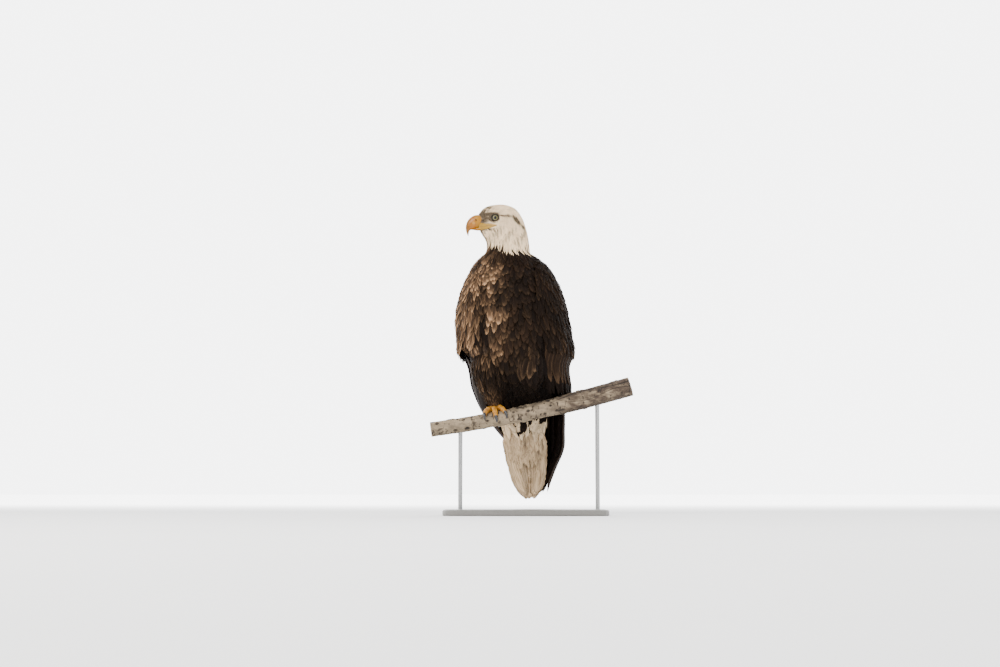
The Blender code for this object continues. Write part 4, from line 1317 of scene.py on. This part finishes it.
# %% [markdown]
# ## Eyes
# An eye is a wet ball, mostly hidden. It could be a flat disc with a ring painted on it, but only
# a ball catches the light rightly from each side. Its colours follow the distance from its axis: a
# black pupil, a pale iris and a dark rim, under one clear gloss. Rings of bare skin make the lids.


# %% Eyeballs and lids
def dome(side, polar, turn, radius):
    """Radius x (cos polar out + sin polar (cos turn ahead + sin turn up)) from the centre."""
    out = unit(np.array([SIDES[side] * 1.0, -0.16, -0.02]))
    up = unit(np.array([0, 0, 1.0]) - out * out[2])
    ahead = np.cross(out, up) * -SIDES[side]
    centre = np.array([SIDES[side] * EYE_OUT, -EYE_AT[0], EYE_AT[1]])
    polar, turn, radius = (v[..., None] for v in (polar, turn, radius))
    ring = np.cos(turn) * ahead + np.sin(turn) * up
    return in_head(centre + radius * (np.cos(polar) * out + np.sin(polar) * ring))


def make_eye(side):
    """A ball from pole to pole, with a slightly raised cornea."""
    rows = np.linspace(0.02, math.pi - 0.02, 64)
    polar, turn = grid(rows, circle(64))
    radius = EYE_RADIUS - 0.0004 + 0.0009 * smoothstep(0.75, 0.35, polar)
    eye = closed_tube("eyeball_" + side, dome(side, polar, turn, radius))
    mark(eye.data, "polar", np.append(polar.ravel(), [0.0, math.pi]))
    return eye


def make_lids(side):
    """A rounded band from the open eye out under the feathers, thicker over the eye."""
    turn, across = grid(circle(72), circle(24))
    upper = smoothstep(-0.2, 0.9, np.sin(turn))
    inner = 0.660 - 0.15 * upper + 0.03 * np.cos(turn) ** 2
    polar = (inner + 1.10) / 2 + (1.10 - inner) / 2 * np.cos(across)
    swell = (0.0008 + 0.0010 * upper) * np.sin(across) * (0.65 + 0.35 * np.cos(across))
    points = dome(side, polar, turn, EYE_RADIUS - 0.0002 + swell)
    k, m = np.indices(turn.shape)
    around = turn.shape[1]
    a, b = (k + 1) % len(turn), (m + 1) % around
    quads = xyz(k * around + m, a * around + m, a * around + b, k * around + b)
    return outward(new_mesh("eyelids_" + side, points.reshape(-1, 3), quads.reshape(-1, 4)))


wet = Finish(
    "eye_wet", roughness=0.3, specular_ior_level=0.2, coat_weight=0.20, coat_roughness=0.02
)
polar = wet.attribute("polar")
flecks = wet.noise(wet.place(), 900.0, 3.0)
rim, pupil = polar.step(0.44, 0.54), polar.step(0.375, 0.350)
iris = (0.29, 0.265, 0.115), (flecks.step(0.35, 0.7), (0.17, 0.145, 0.050))
wet.wear(base_color=wet.layers(*iris, (rim, (0.010, 0.009, 0.006)), (pupil, (0.001,) * 3)))


def grained(finish, grain, stops, first, second, distance, strength):
    """Two colours mixed by a grain, which is also the bump."""
    share = grain.step(*stops) if stops else grain
    return finish.wear(
        base_color=finish.mix(share, first, second), normal=finish.bump(grain, distance, strength)
    )


lid = Finish("lid_skin", roughness=0.5, specular_ior_level=0.1)
grained(
    lid, lid.noise(lid.place(), 700.0), (0.3, 0.7), (0.008, 0.007, 0.006),
    (0.030, 0.025, 0.018), 0.0003, 0.7,
)
for side in SIDES:
    dress(make_eye(side), wet.material, "eye", "eye_" + side)
    dress(make_lids(side), lid.material, "toe_skin")
print("eyes at", EYE_AT, "radius", EYE_RADIUS)

# %% [markdown]
# ## Perch
# The perch is a sawn length of a pale, smooth-barked tree. A plain cylinder with a bump would look
# turned on a lathe, so the tube itself has low bumps, furrows and rings where twigs grew, and its
# ends are cut flat.


# %% Branch
def perch_radius(x):
    return 0.0232 + 0.0030 * np.tanh((x - 0.06) / 0.08)


def perch_point(x, angle, radius):
    """Axis + radius (cos angle up + sin angle forwards): the angle runs from the top to the front.
    The axis is a bow, height = 0.275 + 0.2126 x + 0.15 x^2, and up stands square to it."""
    along = unit(xyz(1.0, 0.0, 0.2126 + 0.30 * x))
    centre = xyz(x, 0.0, 0.275 + 0.2126 * x + 0.15 * x * x)
    up, front = xyz(-along[..., 2], 0, along[..., 0]), np.array([0.0, -1.0, 0.0])
    ring = np.cos(angle)[..., None] * up + np.sin(angle)[..., None] * front
    return centre + radius[..., None] * ring


x, angle = grid(np.linspace(-0.255, 0.285, 420), circle(128))
bare, rough = perch_point(x, angle, perch_radius(x)), smoothstep(0.02, 0.14, x)
bumps = 0.0007 * (waves(bare, 0.030, 101) - 0.5) + 0.0005 * (waves(bare, 0.011, 102) - 0.5)
furrow = -0.0016 * rough * soft(angle, 0.75 + 0.25 * np.sin(x * 30), 0.10)
furrow = furrow - 0.0012 * rough * soft(angle, 1.55 + 0.2 * np.sin(x * 41 + 1), 0.07)
knots, black = 0 * x, smoothstep(0.0005, 0.0014, -furrow)
rng = np.random.default_rng(103)
for _ in range(46):
    knot_x = 0.27 - 0.51 * rng.random() ** 0.8
    knot_angle, size = rng.uniform(0, 6.28), rng.uniform(0.003, 0.008)
    turn = np.abs(np.mod(angle - knot_angle + math.pi, 2 * math.pi) - math.pi) * 0.024
    away = (np.abs((x - knot_x) / 1.3) ** 1.3 + turn**1.3) ** (1 / 1.3) / size
    knots = knots + 0.0016 * np.exp(-((away - 0.9) ** 2) * 6) - 0.0010 * np.exp(-(away**2) * 3)
    black = np.maximum(black, smoothstep(1.1, 0.5, away) * rng.uniform(0.6, 1.0))
radius = perch_radius(x) + bumps + furrow + knots - 0.0003
branch = closed_tube("perch_branch", perch_point(x, angle, radius))
mark(branch.data, "black", np.append(black.ravel(), [0, 0]))
bark = Finish("bark", roughness=0.85, specular_ior_level=0.25)
at = bark.place()
grey = bark.noise(bark.stretched(at, 1.0, 2.2, 2.2), 26.0, 6.0, 0.62)
fleck = bark.noise(bark.stretched(at, 1.6, 1.0, 0.7), 75.0, 4.0, 0.6).step(0.56, 0.63)
scar = bark.noise(bark.stretched(at, 0.8, 1.2, 1.6), 34.0, 3.0).step(0.60, 0.68)
older = bark.axes(at)[0].step(0.02, 0.14)
black = (bark.attribute("black") * (0.6 + grey)).min(1.0)
colour = bark.layers(
    (0.28, 0.215, 0.142),
    (grey.step(0.35, 0.68), (0.13, 0.10, 0.067)),
    (older * grey.step(0.25, 0.58) * 0.95, (0.050, 0.034, 0.025)),
    ((fleck * 0.90).max(scar * 0.8).max(black * 0.95), (0.020, 0.015, 0.012)),
)
bark.wear(base_color=colour, normal=bark.bump(grey + fleck * -0.6, 0.0012, 0.8))
dress(branch, bark.material, "bark", "perch")
print("perch:", len(branch.data.polygons), "faces")

# %% [markdown]
# ## Feet
# Each foot is a bare leg, a sole and four toes round the branch, with rows of hard plates along
# the tops of the toes. The claws are smooth curved horn. Each is a tube along an arc, because an
# arc round the branch's own axis always lies on its bark.

# %% Toes, legs and claws
FOOT_X, PALM_RADIUS, GAP = -0.078, 0.0115, 0.0003
PALM_ANGLE = {"right": -22, "left": 90}
TOE_RADIUS, CLAW_RADIUS = 0.0082, 0.0044
# across the foot, angle where the toe starts and ends, angle of the claw's tip
TOE_NAMES = ("inner", "middle", "outer", "back")
TOE_ROWS = {
    "right": "260 -8 60 104, 0 -8 74 120, -280 -8 48 90, 40 -36 -104 -154",
    "left": "-135 80 -62 -104, 0 84 -70 -112, 135 80 -62 -104, 68 112 184 222",
}
TOES = {
    side: dict(zip(TOE_NAMES, table(rows, TENTH_MM, 1, 1, 1))) for side, rows in TOE_ROWS.items()
}
LEVEL = np.array([[1.0, 0, 0]])


def path_tube(name, path, radius):
    """Rings of an array of radii along a path, standing square to it and level on one side."""
    along = unit(np.gradient(path, axis=0))
    side = unit(LEVEL - along * (along * LEVEL).sum(1, keepdims=True))
    up, turn = np.cross(along, side)[:, None], circle(radius.shape[1])[None, :, None]
    rings = np.cos(turn) * up + np.sin(turn) * side[:, None]
    return closed_tube(name, path[:, None] + radius[..., None] * rings)


def foot_point(side, across, angle, clear):
    """The right foot's angles run round the branch from its top, the left's round its own curl."""
    angle = np.radians(angle)
    if side == "right":
        x = FOOT_X + across + 0 * angle
        return perch_point(x, angle, perch_radius(x) + 2 * GAP + clear)
    x, forwards, height = FIST_AT
    reach = FIST_CURL + clear
    forwards, height = forwards + reach * np.cos(angle), height + reach * np.sin(angle)
    return in_body(xyz(x + across, -forwards, height))


def toe_path(side, toe, start, end, rows, clear):
    """The right foot's toes spread from the sole: across grows with the angle from the start."""
    across, first, last, _ = TOES[side][toe]
    angle = np.linspace(start, end, rows)
    if side == "right":
        across = across * (0.25 + 0.75 * np.clip((angle - first) / (last - first), 0, 1.15) ** 0.7)
    return foot_point(side, across, angle, clear)


def make_toe(side, toe):
    """Radius x (1 - taper) + knuckles, with plates: a saw-tooth along the top of the toe."""
    _, first, last, _ = TOES[side][toe]
    share, turn = grid(np.linspace(0, 1, 88), circle(28))
    base = TOE_RADIUS * (1 - 0.24 * share) + 0.0004 * np.cos(share * math.pi * 6)
    base = base * (1 if side == "right" else 0.86)
    clear = base[:, 0] if side == "right" else 0.0
    path = toe_path(side, toe, first, last, len(base), clear)
    top = smoothstep(0.1, 0.7, (-1.0 if toe == "back" else 1.0) * np.cos(turn))
    saw = np.mod(share * 13, 1)
    plates = 0.0007 * top * (0.5 - np.abs(saw - 0.35)) - 0.0006 * top * smoothstep(0.12, 0.0, saw)
    pads = 0.0003 * (1 - top) * np.sin(share * 60) * np.sin(turn * 9)
    return path_tube(f"toe_{side}_{toe}", path, base + plates + pads - 0.0002)


def make_claw(side, toe):
    """A horn that arches off the toe and tapers to a point."""
    _, _, last, tip = TOES[side][toe]
    share = np.linspace(0, 1, 40)
    radius = CLAW_RADIUS * (1 - share) ** 0.8 + 0.0003
    arch = 0.0030 * (1 - share) + 0.0035 * np.sin(share * math.pi)
    clear = arch + radius if side == "right" else 0.001 * share
    start = last + math.copysign(0.5 if side == "right" else 4.0, tip - last)
    path = toe_path(side, toe, start, tip, 40, clear)
    return path_tube(f"claw_horn_{side}_{toe}", path, radius[:, None] * np.ones((1, 20)))


def make_leg(side):
    """A shank from the sole up into the thigh or the belly, and a ball for the sole."""
    clear = PALM_RADIUS if side == "right" else 0.0
    foot = foot_point(side, 0.0, np.array(float(PALM_ANGLE[side])), np.array(clear))
    hip = np.array([foot[0] + 0.1 * (BODY_AT[0] - foot[0]), -0.012, 0.345])
    if side == "left":
        hip = in_body(np.array([FIST_HOCK[0], -FIST_HOCK[1], FIST_HOCK[2]]))
    share, turn = grid(np.linspace(0, 1, 60), circle(40))
    plates = 0.0004 * np.abs(np.sin(share * 30)) * smoothstep(0.2, 0.8, -np.cos(turn))
    radius = 0.0086 - 0.001 * np.sin(np.pi * share) + plates
    shank = path_tube("shank_" + side, foot + (hip - foot) * share[:, :1], radius)
    polar, turn = grid(np.linspace(0.05, 3.09, 30), circle(40))
    ball = xyz(np.sin(polar) * np.cos(turn), np.sin(polar) * np.sin(turn), np.cos(polar))
    return [shank, closed_tube("sole_" + side, foot + PALM_RADIUS * ball)]


claw_horn = Finish("claw_horn", roughness=0.28)
grained(
    claw_horn, claw_horn.noise(claw_horn.place(), 300.0), (0.35, 0.75), (0.012, 0.012, 0.014),
    (0.060, 0.058, 0.060), 0.0002, 0.5,
)
toe_skin = Finish("toe_skin", roughness=0.5, specular_ior_level=0.4)
scales = {"Vector": toe_skin.place(), "Scale": 520.0}
cells = toe_skin.node("ShaderNodeTexVoronoi", (), scales, "Distance")
grime = toe_skin.noise(toe_skin.place(), 90.0, 4.0)
grime, cream = grime.step(0.35, 0.7), cells.step(0.35, 0.75) * 0.5
spread = (grime, (0.30, 0.11, 0.006)), (cream, (0.30, 0.15, 0.035))
colour = toe_skin.layers((0.46, 0.20, 0.006), *spread)
toe_skin.wear(base_color=colour, normal=toe_skin.bump(cells * -1.0, 0.0006, 0.7))
feet = []
for side in SIDES:
    feet += make_leg(side)
    for toe in TOES[side]:
        feet.append(make_toe(side, toe))
        dress(make_claw(side, toe), claw_horn.material, "claw_horn", f"claw_{side}_{toe}")

# %% [markdown]
# The bare feet join the skin as one object with a second finish, so the whole bird has one skin.

# %% Join the feet to the skin
skin.data.materials.append(toe_skin.material)
for part in feet:
    part.data.materials.append(skin_plumage)
    part.data.materials.append(toe_skin.material)
    mark(part.data, "tone", np.zeros((len(part.data.vertices), 4)))
    part.data.polygons.foreach_set("material_index", np.ones(len(part.data.polygons), np.int32))
join([skin, *feet])
flesh_nodes = ["head", "neck", "trunk", "tail", "thigh_right"]
flesh_nodes += [f"{part}_{side}" for part in ("wing", "primaries", "foot") for side in SIDES]
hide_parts(*flesh_nodes)
print("skin with feet:", len(skin.data.polygons), "faces")

# %% [markdown]
# ## Display stand
# The stand is plain so that it doesn't draw the eye: a painted base with two steel rods. The
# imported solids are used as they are, because a flat base and straight rods need no more detail.

# %% Stand
paint = Finish("stand_paint", roughness=0.45)
grained(
    paint, paint.noise(paint.place(), 900.0, 2.0), (0.3, 0.7), (0.15, 0.145, 0.135),
    (0.19, 0.185, 0.17), 0.0001, 0.4,
)
steel = Finish("stand_steel", roughness=0.28, metallic=1.0)
grained(
    steel, steel.noise(steel.stretched(steel.place(), 1, 1, 0.05), 900.0, 2.0), None,
    (0.30, 0.30, 0.30), (0.46, 0.46, 0.455), 0.00005, 0.5,
)
dress(frame["nodes"]["stand_base"], paint.material)
for side in SIDES:
    dress(frame["nodes"]["stand_rod_" + side], steel.material)
print("stand finishes:", paint.material.name, steel.material.name)

# %% [markdown]
# ## Camera, floor and light
# The bird is seen from low down and slightly below its breast, against a bright even sky. One
# large lamp would make hard shadows, so the sky itself gives most of the light.

# %% Stage
REACH, SKY, FRONT = 60.0, 6.0, 1.1
corners = REACH * np.array([[-1, -1, 0], [1, -1, 0], [1, 1, 0], [-1, 1, 0]])
floor = new_mesh("floor", corners, np.array([[0, 1, 2, 3]]))
pale = Finish("floor_pale", roughness=0.9, emission_strength=SKY)
ahead = pale.axes(pale.place())[1]
pale.wear(
    base_color=pale.mix(pale.noise(pale.place(), 3.0), (0.76, 0.76, 0.76), (0.80, 0.80, 0.80)),
    emission_color=pale.mix(ahead.step(0.5, 5.0), (0.0, 0.0, 0.0), (0.75, 0.75, 0.75)),
)
dress(floor, pale.material)

camera = in_scene("camera", bpy.data.cameras.new("camera"))
camera.data.lens, camera.data.sensor_width = 60, 36
camera_at, target = np.array([-0.068, -4.509, 0.06]), np.array([-0.068, 0.0, 0.4915])
camera.location, away = camera_at, target - camera_at
camera.rotation_euler = (math.pi / 2 + math.atan2(away[2], math.hypot(*away[:2])), 0, 0)
bpy.context.scene.camera = camera

world = bpy.data.worlds.new("sky")
bpy.context.scene.world = world
world.use_nodes = True
tree = world.node_tree
where, split, ramp = (
    tree.nodes.new("ShaderNode" + kind) for kind in ("TexCoord", "SeparateXYZ", "MapRange")
)
ramp.interpolation_type = "SMOOTHSTEP"
for key, value in (("From Min", -0.1), ("From Max", 0.75), ("To Min", FRONT), ("To Max", SKY)):
    ramp.inputs[key].default_value = value
tree.links.new(where.outputs["Generated"], split.inputs[0])
tree.links.new(split.outputs["Y"], ramp.inputs["Value"])
tree.links.new(ramp.outputs[0], tree.nodes["Background"].inputs["Strength"])
tree.nodes["Background"].inputs["Color"].default_value = (0.99, 0.995, 1.0, 1)


def soft_light(name, place, size, power, colour):
    light = in_scene(name, bpy.data.lights.new(name, "AREA"))
    light.data.size, light.data.energy, light.data.color = size, power, colour
    light.location = place
    aim = Vector((-0.03, 0, 0.5)) - Vector(place)
    light.rotation_euler = aim.to_track_quat("-Z", "Y").to_euler()


soft_light("key", (-2.2, -3.2, 3.0), 2.0, 260, (1.0, 0.96, 0.90))
soft_light("fill", (2.8, -2.4, 1.6), 2.5, 60, (1, 1, 1))
print("camera at", camera_at, "looks at", target)
